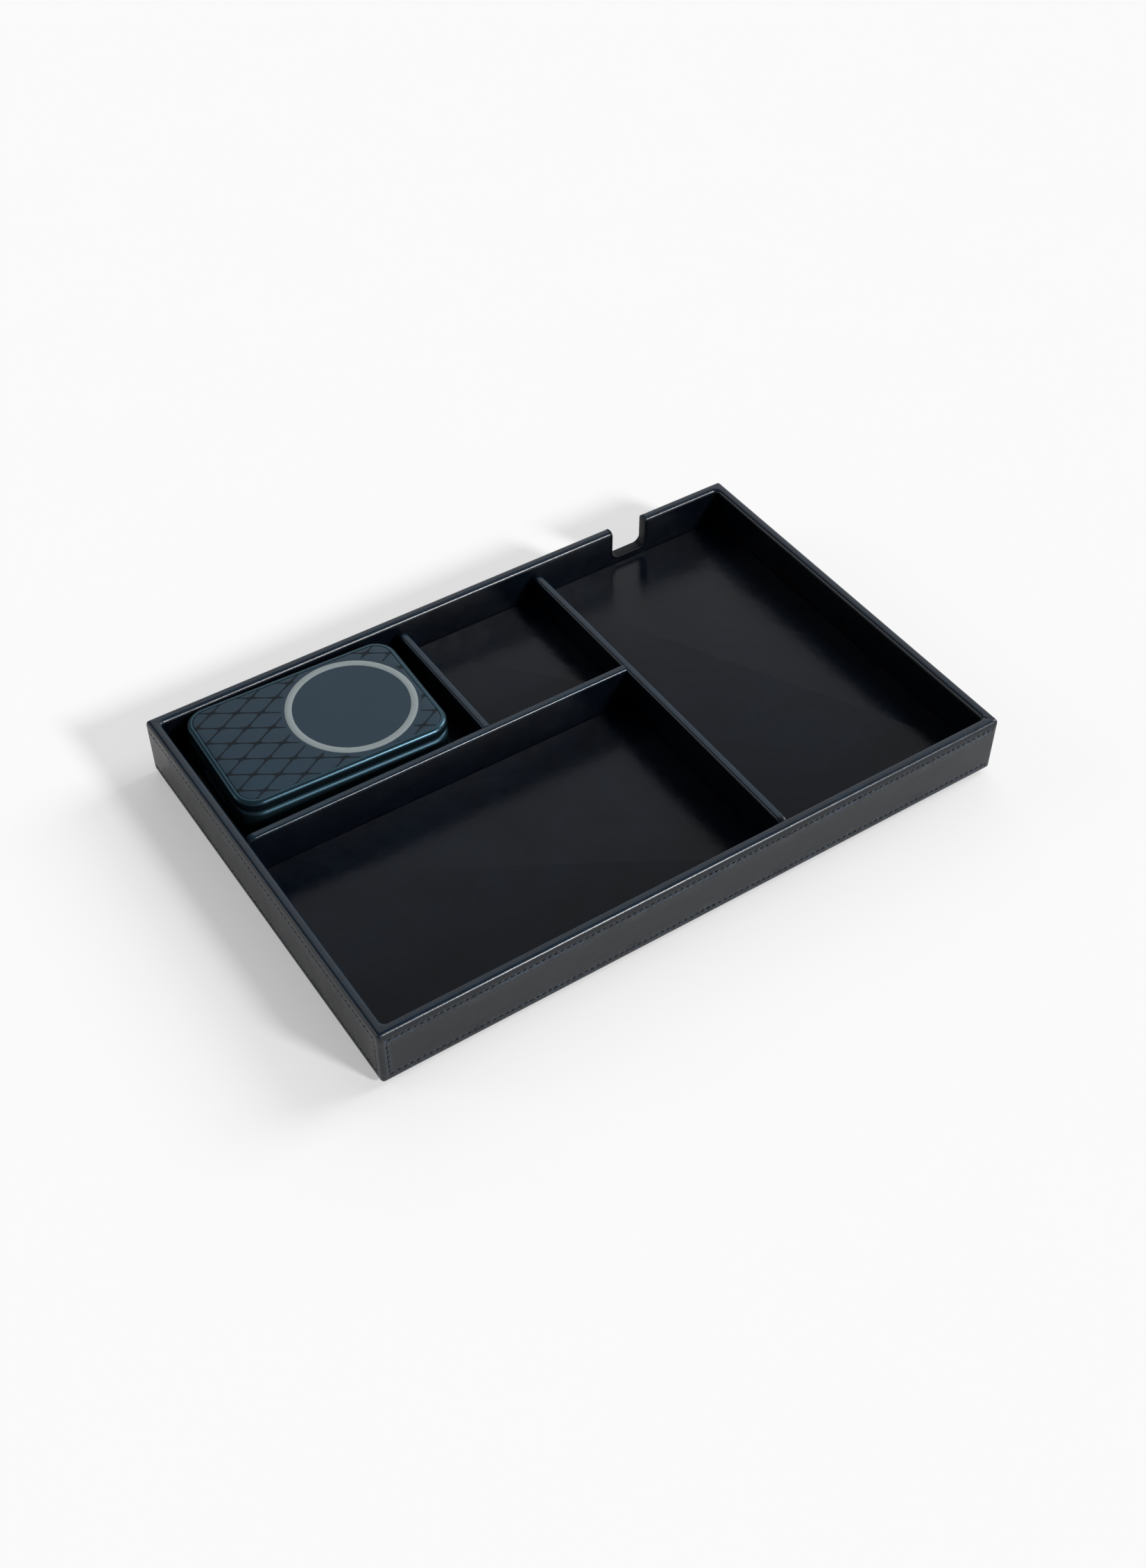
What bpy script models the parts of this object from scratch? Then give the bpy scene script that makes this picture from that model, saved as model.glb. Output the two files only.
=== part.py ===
"""Wireless charging valet tray.

A low tray of board walls covered in leather, split by leather dividers into four bays. Three bays
have a raised floor, and a wireless transmitter lies under the one for the phone. A separate charging
module with two leaves lies in the back left bay and lifts straight out.

Metres, +Z up. The origin is at the middle of the footprint, on the surface the tray stands on.
+X runs along the length, and -Y is the front.
"""
import math

import bmesh
import bpy
from mathutils import Matrix, Vector

MM = 0.001

# Driving dimensions of the tray
TRAY_LENGTH = 250.0 * MM
TRAY_WIDTH = 165.0 * MM
RIM_HEIGHT = 25.0 * MM
DIVIDER_DROP = 3.5 * MM
FRONT_FLOOR_HEIGHT = 5.1 * MM
RAISED_FLOOR_HEIGHT = 9.4 * MM
PHONE_BAY_WIDTH = 84.5 * MM

# Sheet and board thicknesses, and the clearance between neighbours
LEATHER = 0.9 * MM
WALL_BOARD = 1.8 * MM
DIVIDER_LEATHER = 0.8 * MM
DIVIDER_BOARD = 1.2 * MM
BASE_BOARD = 2.3 * MM
PANEL_THICKNESS = 1.2 * MM
GAP = 0.3 * MM
OVERRUN = 5.0 * MM

# Shape of the dividers
DIVIDER_CORNER = 3.5 * MM
DIVIDER_EDGE_ROUND = 1.1 * MM
DIVIDER_END_LEATHER = 3.0 * MM

# Shape of the bent leather on a wall
RIM_ROUND = 1.7 * MM
FOOT_ROUND = 1.2 * MM
CORNER_ROUND = 1.2 * MM
CORE_EDGE_ROUND = 0.5 * MM
PANEL_INSET = 3.6 * MM
PANEL_CORNER = 3.0 * MM

# Cable notch in the back wall
NOTCH_WIDTH = 15.4 * MM
NOTCH_FLOOR = 12.0 * MM
NOTCH_ROUND = 3.0 * MM
BINDING_EDGE_ROUND = 0.35 * MM

# Transmitter under the phone bay
CASE_WIDTH = 54.0 * MM
CASE_WALL = 1.4 * MM
CASE_FLOOR = 0.6 * MM
CASE_CORNER = 3.0 * MM
LID_THICKNESS = 0.6 * MM
TX_BOARD_LENGTH = 42.0 * MM
TX_BOARD_THICKNESS = 0.8 * MM
TX_LEAD_ROOM = 12.6 * MM
TX_FERRITE_THICKNESS = 0.5 * MM
TX_FERRITE_MARGIN = 2.0 * MM
TX_FERRITE_SIDE_ROOM = 1.6 * MM
TX_COIL_MARGIN = 2.0 * MM
TX_COIL_BAND = 12.0 * MM
TX_COIL_THICKNESS = 1.2 * MM

# USB-C socket, the same in the tray and in the module
SOCKET_WIDTH = 8.94 * MM
SOCKET_HEIGHT = 3.16 * MM
SOCKET_LENGTH = 7.4 * MM
SOCKET_SHELL = 0.35 * MM
SOCKET_BORE_DEPTH = 6.2 * MM
SOCKET_TONGUE_WIDTH = 6.6 * MM
SOCKET_TONGUE_HEIGHT = 0.7 * MM
SOCKET_TONGUE_SETBACK = 0.6 * MM
SOCKET_RECESS = 0.4 * MM
SOCKET_CLEARANCE = 0.4 * MM

# Charging module, and the room that its bay leaves round it
MODULE_LENGTH = 81.4 * MM
MODULE_WIDTH = 53.6 * MM
MODULE_HEIGHT = 14.9 * MM
MODULE_CORNER = 8.5 * MM
MODULE_TURN = math.radians(-2.2)
MODULE_BAY_ROOM_X = 12.9 * MM
MODULE_BAY_ROOM_Y = 7.2 * MM
MODULE_LEFT_ROOM = 5.12 * MM
MODULE_BACK_ROOM = 0.28 * MM
UPPER_LEAF = 4.5 * MM
LEAF_GROOVE = 0.5 * MM
LEAF_TOP_ROUND = 1.7 * MM
LEAF_LOWER_ROUND = 1.1 * MM
MODULE_FOOT_ROUND = 2.2 * MM
SHELL_WALL = 1.6 * MM
SHELL_FLOOR = 1.4 * MM
LEAF_FLOOR = 0.9 * MM
SKIRT_LENGTH = 2.0 * MM
SKIRT_WALL = 1.2 * MM
FACE_BORDER = 2.1 * MM
FACE_PANEL = 1.4 * MM
FACE_LEDGE = 1.6 * MM
FACE_EDGE_ROUND = 0.15 * MM
RING_END_MARGIN = 1.1 * MM
RING_SIDE_MARGIN = 0.8 * MM
RING_BAND = 2.6 * MM
RING_THICKNESS = 0.5 * MM
CELL_SIDE_ROOM = 3.2 * MM
CELL_LEAD_ROOM = 5.9 * MM
CELL_THICKNESS = 6.0 * MM
CELL_CORNER = 2.0 * MM
MODULE_BOARD_LENGTH = 20.0 * MM
MODULE_BOARD_SIDE_ROOM = 8.2 * MM
MODULE_BOARD_THICKNESS = 1.0 * MM
MODULE_FERRITE_THICKNESS = 0.4 * MM
MODULE_COIL_MARGIN = 1.0 * MM
MODULE_COIL_BAND = 10.0 * MM
MODULE_COIL_THICKNESS = 0.6 * MM
MAGNET_SETBACK = 1.3 * MM
MAGNET_RING_BAND = 3.0 * MM
MAGNET_THICKNESS = 1.2 * MM
PORT_RECESS_WIDTH = 17.6 * MM
PORT_RECESS_DEPTH = 1.0 * MM
PORT_RECESS_HEIGHT = 5.0 * MM
PORT_RECESS_ROUND = 1.2 * MM

# How finely arcs are cut, and when two points are one
ARC_STEPS = 4
CORNER_STEPS = 6
RING_STEPS = 40
MERGE = 0.01 * MM

# Values that follow from the ones above
WALL = 2 * LEATHER + 2 * GAP + WALL_BOARD
HALF_LENGTH = TRAY_LENGTH / 2
HALF_WIDTH = TRAY_WIDTH / 2
INNER_X = HALF_LENGTH - WALL
INNER_Y = HALF_WIDTH - WALL
FOOT_HEIGHT = PANEL_THICKNESS + GAP
BASE_TOP = FOOT_HEIGHT + BASE_BOARD
ON_BASE = BASE_TOP + GAP
DIVIDER = 2 * DIVIDER_LEATHER + 2 * GAP + DIVIDER_BOARD
DIVIDER_HEIGHT = RIM_HEIGHT - DIVIDER_DROP
PHONE_RIGHT = INNER_X - PHONE_BAY_WIDTH
PHONE_LEFT = PHONE_RIGHT - DIVIDER
BAY_LEFT = MODULE_LENGTH + MODULE_BAY_ROOM_X - INNER_X
BAY_RIGHT = BAY_LEFT + DIVIDER
ROW_BACK = INNER_Y - MODULE_WIDTH - MODULE_BAY_ROOM_Y
ROW_FRONT = ROW_BACK - DIVIDER
PHONE_DIVIDER_X = (PHONE_LEFT + PHONE_RIGHT) / 2
BAY_DIVIDER_X = (BAY_LEFT + BAY_RIGHT) / 2
ROW_DIVIDER_Y = (ROW_FRONT + ROW_BACK) / 2
PHONE_BAY_X = (PHONE_RIGHT + INNER_X) / 2
SPACER_TOP = RAISED_FLOOR_HEIGHT - LEATHER - GAP
CASE_BACK_Y = INNER_Y - GAP
TX_FERRITE_SIZE = CASE_WIDTH - 2 * (CASE_WALL + TX_FERRITE_SIDE_ROOM)
TX_COIL_OUTER = TX_FERRITE_SIZE - 2 * TX_COIL_MARGIN
TX_COIL_INNER = TX_COIL_OUTER - 2 * TX_COIL_BAND
TX_BOARD_BACK_Y = CASE_BACK_Y - CASE_WALL - GAP
TX_FERRITE_FRONT_Y = TX_BOARD_BACK_Y - TX_BOARD_LENGTH - TX_LEAD_ROOM - TX_FERRITE_SIZE
CASE_FRONT_Y = TX_FERRITE_FRONT_Y - TX_FERRITE_MARGIN - GAP - CASE_WALL
IN_CASE = ON_BASE + CASE_FLOOR + GAP
TX_SOCKET_Z = IN_CASE + SOCKET_HEIGHT / 2
TX_SOCKET_END_Y = HALF_WIDTH - SOCKET_RECESS - SOCKET_LENGTH
TURN_COS = math.cos(MODULE_TURN)
TURN_SIN = abs(math.sin(MODULE_TURN))
CORNER_X = MODULE_LENGTH / 2 - MODULE_CORNER
CORNER_Y = MODULE_WIDTH / 2 - MODULE_CORNER
MODULE_REACH_X = CORNER_X * TURN_COS + CORNER_Y * TURN_SIN + MODULE_CORNER
MODULE_REACH_Y = CORNER_X * TURN_SIN + CORNER_Y * TURN_COS + MODULE_CORNER
MODULE_X = MODULE_LEFT_ROOM + MODULE_REACH_X - INNER_X
MODULE_Y = INNER_Y - MODULE_BACK_ROOM - MODULE_REACH_Y
MODULE_LOW = RAISED_FLOOR_HEIGHT + GAP
MODULE_TOP = MODULE_LOW + MODULE_HEIGHT
IN_MODULE = MODULE_LOW + SHELL_FLOOR + GAP
UPPER_LOW = MODULE_TOP - UPPER_LEAF
LOWER_TOP = UPPER_LOW - LEAF_GROOVE
SKIRT_INSET = SHELL_WALL + GAP
FACE_LOW = MODULE_TOP - FACE_PANEL
RING_OUTER = MODULE_WIDTH - 2 * (FACE_BORDER + GAP + RING_SIDE_MARGIN)
RING_X = MODULE_LENGTH / 2 - FACE_BORDER - GAP - RING_END_MARGIN - RING_OUTER / 2
MAGNET_RING_OUTER = RING_OUTER - 2 * MAGNET_SETBACK
MAGNET_RING_INNER = MAGNET_RING_OUTER - 2 * MAGNET_RING_BAND
MODULE_FERRITE_SIZE = MAGNET_RING_INNER - 2 * GAP
MODULE_COIL_OUTER = MODULE_FERRITE_SIZE - 2 * MODULE_COIL_MARGIN
MODULE_COIL_INNER = MODULE_COIL_OUTER - 2 * MODULE_COIL_BAND
MODULE_END_X = MODULE_LENGTH / 2 - SHELL_WALL
MODULE_SIDE_Y = MODULE_WIDTH / 2 - SHELL_WALL
CELL_LENGTH = 2 * MODULE_END_X - CELL_CORNER - CELL_LEAD_ROOM - MODULE_BOARD_LENGTH - GAP
CELL_WIDTH = 2 * (MODULE_SIDE_Y - CELL_SIDE_ROOM)
PORT_Z = IN_MODULE + MODULE_BOARD_THICKNESS + GAP + SOCKET_HEIGHT / 2
PORT_MOUTH_X = PORT_RECESS_DEPTH + SOCKET_RECESS - MODULE_LENGTH / 2
QUARTER_TURN = math.pi / 2


def clear_scene():
    for obj in list(bpy.data.objects):
        bpy.data.objects.remove(obj, do_unlink=True)


def make_collection(name):
    collection = bpy.data.collections.new(name)
    bpy.context.scene.collection.children.link(collection)
    return collection


def make_material(name, colour, roughness, metallic=0.0):
    material = bpy.data.materials.new(name)
    material.use_nodes = True
    shader = material.node_tree.nodes["Principled BSDF"]
    shader.inputs["Base Color"].default_value = (*colour, 1.0)
    shader.inputs["Roughness"].default_value = roughness
    shader.inputs["Metallic"].default_value = metallic
    return material


def finish_bmesh(bm, name, collection, material):
    bmesh.ops.recalc_face_normals(bm, faces=bm.faces)
    mesh = bpy.data.meshes.new(name)
    bm.to_mesh(mesh)
    bm.free()
    obj = bpy.data.objects.new(name, mesh)
    collection.objects.link(obj)
    if material is not None:
        mesh.materials.append(material)
    return obj


def place(obj, location=(0, 0, 0), rotation=(0, 0, 0), parent=None):
    obj.location = location
    obj.rotation_euler = rotation
    obj.parent = parent
    return obj


def arc(centre, radius, start, end, steps=ARC_STEPS):
    """Points on a circle's arc, from one angle in degrees to another."""
    points = []
    for step in range(steps + 1):
        angle = math.radians(start + (end - start) * step / steps)
        points.append((centre[0] + radius * math.cos(angle), centre[1] + radius * math.sin(angle)))
    return points


def circle(diameter):
    return arc((0, 0), diameter / 2, 0, 360, RING_STEPS)[:-1]


def rounded_outline(length, width, radius):
    """Outline of a rectangle with round corners, centred on the origin."""
    x = length / 2 - radius
    y = width / 2 - radius
    return (arc((x, -y), radius, -90, 0, CORNER_STEPS) + arc((x, y), radius, 0, 90, CORNER_STEPS)
            + arc((-x, y), radius, 90, 180, CORNER_STEPS) + arc((-x, -y), radius, 180, 270, CORNER_STEPS))


def plate(name, outline, thickness, collection, material=None, holes=()):
    """A flat outline with any holes, made thick evenly to both sides of its own XY plane."""
    curve = bpy.data.curves.new(name, "CURVE")
    curve.dimensions = "2D"
    curve.fill_mode = "BOTH"
    curve.extrude = thickness / 2
    for ring in (outline, *holes):
        spline = curve.splines.new("POLY")
        spline.points.add(len(ring) - 1)
        for point, (x, y) in zip(spline.points, ring):
            point.co = (x, y, 0.0, 1.0)
        spline.use_cyclic_u = True
    source = bpy.data.objects.new(name + "_curve", curve)
    bpy.context.scene.collection.objects.link(source)
    depsgraph = bpy.context.evaluated_depsgraph_get()
    mesh = bpy.data.meshes.new_from_object(source.evaluated_get(depsgraph))
    bpy.data.objects.remove(source, do_unlink=True)
    bpy.data.curves.remove(curve)
    bm = bmesh.new()
    bm.from_mesh(mesh)
    bpy.data.meshes.remove(mesh)
    bmesh.ops.remove_doubles(bm, verts=bm.verts, dist=MERGE)
    bmesh.ops.dissolve_limit(bm, angle_limit=math.radians(1), verts=bm.verts, edges=bm.edges)
    return finish_bmesh(bm, name, collection, material)


def level_plate(name, outline, low, high, collection, material=None, holes=(), centre=(0, 0), parent=None):
    """A plate that lies flat between two heights."""
    obj = plate(name, outline, high - low, collection, material, holes)
    return place(obj, (*centre, (low + high) / 2), parent=parent)


def block(name, low, high, collection, material=None, parent=None):
    """A box between two corners."""
    bm = bmesh.new()
    bmesh.ops.create_cube(bm, size=1)
    bmesh.ops.scale(bm, verts=bm.verts, vec=Vector(high) - Vector(low))
    obj = finish_bmesh(bm, name, collection, material)
    return place(obj, (Vector(high) + Vector(low)) / 2, parent=parent)


def round_edges(obj, radius, segments=2):
    modifier = obj.modifiers.new("Rounded edges", "BEVEL")
    modifier.width = radius
    modifier.segments = segments
    modifier.limit_method = "ANGLE"
    modifier.angle_limit = math.radians(40)


def bevel_chosen(obj, radius, chosen, segments=3):
    """Rounds the sharp edges of a plate that the test chooses."""
    bm = bmesh.new()
    bm.from_mesh(obj.data)
    edges = [edge for edge in bm.edges if edge.calc_face_angle(0.0) > math.radians(40) and chosen(edge)]
    bmesh.ops.bevel(bm, geom=edges, offset=radius, segments=segments, profile=0.5, affect="EDGES")
    bm.to_mesh(obj.data)
    bm.free()


def lies_at(edge, axis, value):
    return all(abs(vert.co[axis] - value) < MERGE for vert in edge.verts)


def round_rims(obj, top_radius, foot_radius, segments=3):
    """Rounds the top and foot rims of a level plate, each by its own radius."""
    top = max(vert.co.z for vert in obj.data.vertices)
    bevel_chosen(obj, top_radius, lambda edge: lies_at(edge, 2, top), segments)
    bevel_chosen(obj, foot_radius, lambda edge: lies_at(edge, 2, -top), segments)


def combine(obj, cutter, operation="DIFFERENCE"):
    """Cuts an object with another, or joins it to another, and keeps that one as a wire guide."""
    cutter.hide_render = True
    cutter.display_type = "WIRE"
    modifier = obj.modifiers.new(cutter.name, "BOOLEAN")
    modifier.operation = operation
    modifier.solver = "EXACT"
    modifier.object = cutter


def smooth(obj):
    obj.data.shade_smooth()
    obj.data.set_sharp_from_angle(angle=math.radians(35))


# Leather-covered walls. In a wall's own frame X runs along it, Y runs inward from its outer face.

def wall_leather_section():
    """Section of the bent leather, inward from the outer face and upward."""
    top = RIM_HEIGHT - RIM_ROUND
    foot = FOOT_HEIGHT + FOOT_ROUND
    far = WALL - RIM_ROUND
    reach = LEATHER + GAP + WALL_BOARD
    outer = [(reach, FOOT_HEIGHT)]
    outer += arc((FOOT_ROUND, foot), FOOT_ROUND, 270, 180)
    outer += arc((RIM_ROUND, top), RIM_ROUND, 180, 90)
    outer += arc((far, top), RIM_ROUND, 90, 0)
    outer += [(WALL, ON_BASE)]
    inside = RIM_ROUND - LEATHER
    inner = [(WALL - LEATHER, ON_BASE)]
    inner += arc((far, top), inside, 0, 90)
    inner += arc((RIM_ROUND, top), inside, 90, 180)
    inner += arc((FOOT_ROUND, foot), FOOT_ROUND - LEATHER, 180, 270)
    inner += [(reach, FOOT_HEIGHT + LEATHER)]
    return outer + inner


def wall_board_section():
    low = FOOT_HEIGHT + LEATHER + GAP
    high = RIM_HEIGHT - LEATHER - GAP
    near = LEATHER + GAP
    far = near + WALL_BOARD
    r = CORE_EDGE_ROUND
    return [(near, low), (far, low), (far, high - r), (far - r, high), (near + r, high), (near, high - r)]


def mitred_bar(name, section, half, collection, material):
    """A section run along a wall and mitred at both ends."""
    bar = plate(name, section, 2 * half, collection, material)
    lie_down = Matrix(((0, 0, 1, 0), (1, 0, 0, 0), (0, 1, 0, 0), (0, 0, 0, 1)))
    bar.data.transform(lie_down)
    bm = bmesh.new()
    bm.from_mesh(bar.data)
    for side in (1, -1):
        normal = Vector((side, 1, 0)).normalized()
        point = Vector((side * half, 0, 0)) - normal * GAP / 2
        geometry = bm.verts[:] + bm.edges[:] + bm.faces[:]
        sliced = bmesh.ops.bisect_plane(bm, geom=geometry, plane_co=point, plane_no=normal, clear_outer=True)
        rim = [item for item in sliced["geom_cut"] if isinstance(item, bmesh.types.BMEdge)]
        bmesh.ops.triangle_fill(bm, edges=rim, use_beauty=True)
    bmesh.ops.recalc_face_normals(bm, faces=bm.faces)
    bm.to_mesh(bar.data)
    bm.free()
    return bar


def wall_places():
    """Name, half length, middle of the outer face and turn of each wall."""
    return (("front", HALF_LENGTH, (0, -HALF_WIDTH, 0), 0),
            ("right", HALF_WIDTH, (HALF_LENGTH, 0, 0), QUARTER_TURN),
            ("back", HALF_LENGTH, (0, HALF_WIDTH, 0), 2 * QUARTER_TURN),
            ("left", HALF_WIDTH, (-HALF_LENGTH, 0, 0), -QUARTER_TURN))


def round_corners(skin, half, cutters):
    """Takes the sharp tips off a wall's leather, so that the tray's upright corners are round."""
    for side, end in ((1, "right"), (-1, "left")):
        middle = side * (half - CORNER_ROUND)
        past = side * (half + OVERRUN)
        sweep = arc((middle, CORNER_ROUND), CORNER_ROUND, -90, -90 + side * 90)
        outline = sweep + [(past, CORNER_ROUND), (past, -OVERRUN), (middle, -OVERRUN)]
        combine(skin, level_plate(skin.name + "_tip_" + end, outline, -OVERRUN, RIM_HEIGHT + OVERRUN,
                                  cutters, parent=skin))


def notch_outline(width, floor, radius, top):
    """A U that opens upward, centred on the phone bay when it is stood up there."""
    x = width / 2
    return ([(-x, top)] + arc((radius - x, floor + radius), radius, 180, 270)
            + arc((x - radius, floor + radius), radius, 270, 360) + [(x, top)])


def stand_in_back_wall(obj, z=0.0):
    """Stands a plate up in the middle of the back wall, at the phone bay."""
    return place(obj, (PHONE_BAY_X, HALF_WIDTH - WALL / 2, z), (QUARTER_TURN, 0, 0))


def notch_cutter(cutters):
    width = NOTCH_WIDTH + 2 * (LEATHER + GAP)
    floor = NOTCH_FLOOR - LEATHER - GAP
    outline = notch_outline(width, floor, NOTCH_ROUND + LEATHER, RIM_HEIGHT + OVERRUN)
    return stand_in_back_wall(plate("notch_cutter", outline, WALL + 2 * OVERRUN, cutters))


def inlet_cutter(cutters):
    width = SOCKET_WIDTH + 2 * SOCKET_CLEARANCE
    height = SOCKET_HEIGHT + 2 * SOCKET_CLEARANCE
    outline = rounded_outline(width, height, height / 2 - SOCKET_SHELL)
    return stand_in_back_wall(plate("inlet_cutter", outline, WALL + 2 * OVERRUN, cutters), TX_SOCKET_Z)


def make_walls(parts, cutters, leather, board):
    notch = notch_cutter(cutters)
    inlet = inlet_cutter(cutters)
    for side, half, middle, turn in wall_places():
        skin = mitred_bar("wall_leather_" + side, wall_leather_section(), half, parts, leather)
        core = mitred_bar("wall_board_" + side, wall_board_section(), half, parts, board)
        round_corners(skin, half, cutters)
        for piece in (skin, core):
            place(piece, middle, (0, 0, turn))
            if side == "back":
                combine(piece, notch)
                combine(piece, inlet)
        smooth(skin)


def make_notch_binding(parts, leather):
    """Leather strip that closes the cut edge of the wall in the cable notch."""
    outer = notch_outline(NOTCH_WIDTH + 2 * LEATHER, NOTCH_FLOOR - LEATHER, NOTCH_ROUND + LEATHER, RIM_HEIGHT)
    inner = notch_outline(NOTCH_WIDTH, NOTCH_FLOOR, NOTCH_ROUND, RIM_HEIGHT)
    strip = stand_in_back_wall(plate("notch_binding", outer + inner[::-1], WALL, parts, leather))
    round_edges(strip, BINDING_EDGE_ROUND)
    smooth(strip)


# Base, floors and dividers

def make_base(parts, board, black):
    reach_x = HALF_LENGTH - LEATHER - WALL_BOARD - 2 * GAP
    reach_y = HALF_WIDTH - LEATHER - WALL_BOARD - 2 * GAP
    block("base_board", (-reach_x, -reach_y, FOOT_HEIGHT), (reach_x, reach_y, BASE_TOP), parts, board)
    outline = rounded_outline(TRAY_LENGTH - 2 * PANEL_INSET, TRAY_WIDTH - 2 * PANEL_INSET, PANEL_CORNER)
    smooth(level_plate("underside_panel", outline, 0.0, PANEL_THICKNESS, parts, black))


def bay_corners():
    """Low and high corner of each bay."""
    return {"front": ((-INNER_X, -INNER_Y), (PHONE_LEFT, ROW_FRONT)),
            "left": ((-INNER_X, ROW_BACK), (BAY_LEFT, INNER_Y)),
            "middle": ((BAY_RIGHT, ROW_BACK), (PHONE_LEFT, INNER_Y)),
            "phone": ((PHONE_RIGHT, -INNER_Y), (INNER_X, INNER_Y))}


def bay_block(name, bay, low, high, parts, material):
    (x0, y0), (x1, y1) = bay_corners()[bay]
    return block(name, (x0 + GAP, y0 + GAP, low), (x1 - GAP, y1 - GAP, high), parts, material)


def make_floors(parts, cutters, leather, board):
    bay_block("floor_leather_front", "front", ON_BASE, FRONT_FLOOR_HEIGHT, parts, leather)
    for bay in ("left", "middle", "phone"):
        low = RAISED_FLOOR_HEIGHT - LEATHER
        bay_block("floor_leather_" + bay, bay, low, RAISED_FLOOR_HEIGHT, parts, leather)
        spacer = bay_block("floor_spacer_" + bay, bay, ON_BASE, SPACER_TOP, parts, board)
        if bay == "phone":
            combine(spacer, case_cutter(cutters))


def divider_outline(start, end, foot, top, round_end):
    """Side view of a divider: its top has a round corner at the start, and at the end if asked."""
    r = DIVIDER_CORNER
    last = arc((end - r, top - r), r, 0, 90) if round_end else [(end, top)]
    return [(start, foot), (end, foot)] + last + arc((start + r, top - r), r, 90, 180)


def make_divider(name, start, end, round_end, middle, turn, parts, cutters, leather, board):
    """A board with leather on its faces, over its top and round its ends."""
    run = end - start
    outline = divider_outline(0.0, run, ON_BASE, DIVIDER_HEIGHT, round_end)
    skin = plate("divider_leather_" + name, outline, DIVIDER, parts, leather)
    bevel_chosen(skin, DIVIDER_EDGE_ROUND,
                 lambda edge: not lies_at(edge, 1, ON_BASE) and (round_end or not lies_at(edge, 0, run)))
    inset = DIVIDER_END_LEATHER
    top = DIVIDER_HEIGHT - DIVIDER_LEATHER - GAP
    outline = divider_outline(inset, run - inset, ON_BASE, top, True)
    core = plate("divider_board_" + name, outline, DIVIDER_BOARD, parts, board)
    outline = divider_outline(inset - GAP, run - inset + GAP, ON_BASE - OVERRUN, top + GAP, True)
    pocket = plate("divider_pocket_" + name, outline, DIVIDER_BOARD + 2 * GAP, cutters)
    combine(skin, pocket)
    along = Vector((math.cos(turn), math.sin(turn), 0))
    for piece in (skin, core, pocket):
        place(piece, Vector(middle) + along * start, (QUARTER_TURN, 0, turn))
    smooth(skin)


def make_dividers(parts, cutters, leather, board):
    """Each divider starts at a wall, with a turn of its own, and ends at a wall or another divider."""
    kit = (parts, cutters, leather, board)
    make_divider("phone", GAP - INNER_Y, INNER_Y - GAP, True, (PHONE_DIVIDER_X, 0, 0), QUARTER_TURN, *kit)
    make_divider("row", GAP - INNER_X, PHONE_LEFT - GAP, False, (0, ROW_DIVIDER_Y, 0), 0, *kit)
    make_divider("bay", GAP - INNER_Y, -ROW_BACK - GAP, False, (BAY_DIVIDER_X, 0, 0), -QUARTER_TURN, *kit)


# Transmitter under the phone bay

def case_cutter(cutters):
    """Room for the case in the spacer, open at the back so that the socket passes."""
    x = CASE_WIDTH / 2 + GAP
    low = (PHONE_BAY_X - x, CASE_FRONT_Y - GAP, ON_BASE - OVERRUN)
    high = (PHONE_BAY_X + x, INNER_Y + OVERRUN, SPACER_TOP + OVERRUN)
    return block("case_cutter", low, high, cutters)


def socket_slot(name, front, low, high, cutters):
    """Room for the tray's socket, from a front end to past the back wall."""
    x = SOCKET_WIDTH / 2 + GAP
    return block(name, (PHONE_BAY_X - x, front, low), (PHONE_BAY_X + x, INNER_Y + OVERRUN, high), cutters)


def make_case(parts, cutters, plastic):
    length = CASE_BACK_Y - CASE_FRONT_Y
    centre = (PHONE_BAY_X, (CASE_FRONT_Y + CASE_BACK_Y) / 2)
    top = SPACER_TOP - LID_THICKNESS - GAP
    outline = rounded_outline(CASE_WIDTH, length, CASE_CORNER)
    case = level_plate("transmitter_case", outline, ON_BASE, top, parts, plastic, centre=centre)
    hollow = rounded_outline(CASE_WIDTH - 2 * CASE_WALL, length - 2 * CASE_WALL, CASE_CORNER - CASE_WALL)
    floor = ON_BASE + CASE_FLOOR
    combine(case, level_plate("case_room", hollow, floor, top + OVERRUN, cutters, centre=centre))
    combine(case, socket_slot("case_slot", CASE_BACK_Y - CASE_WALL - OVERRUN, floor, top + OVERRUN, cutters))
    lid = level_plate("transmitter_lid", outline, SPACER_TOP - LID_THICKNESS, SPACER_TOP, parts, plastic,
                      centre=centre)
    lid_low = SPACER_TOP - LID_THICKNESS - OVERRUN
    combine(lid, socket_slot("lid_slot", TX_SOCKET_END_Y - GAP, lid_low, SPACER_TOP + OVERRUN, cutters))
    smooth(case)


def make_transmitter_inside(parts, cutters, green, grey, copper):
    x = CASE_WIDTH / 2 - CASE_CORNER
    board = block("transmitter_board", (PHONE_BAY_X - x, TX_BOARD_BACK_Y - TX_BOARD_LENGTH, IN_CASE),
                  (PHONE_BAY_X + x, TX_BOARD_BACK_Y, IN_CASE + TX_BOARD_THICKNESS), parts, green)
    combine(board, socket_slot("board_slot", TX_SOCKET_END_Y - GAP, IN_CASE - OVERRUN, IN_CASE + OVERRUN, cutters))
    half = TX_FERRITE_SIZE / 2
    middle = TX_FERRITE_FRONT_Y + half
    ferrite_top = IN_CASE + TX_FERRITE_THICKNESS
    block("transmitter_ferrite", (PHONE_BAY_X - half, middle - half, IN_CASE),
          (PHONE_BAY_X + half, middle + half, ferrite_top), parts, grey)
    coil_low = ferrite_top + GAP
    coil = level_plate("transmitter_coil", circle(TX_COIL_OUTER), coil_low, coil_low + TX_COIL_THICKNESS,
                       parts, copper, (circle(TX_COIL_INNER),), (PHONE_BAY_X, middle))
    smooth(coil)


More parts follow.
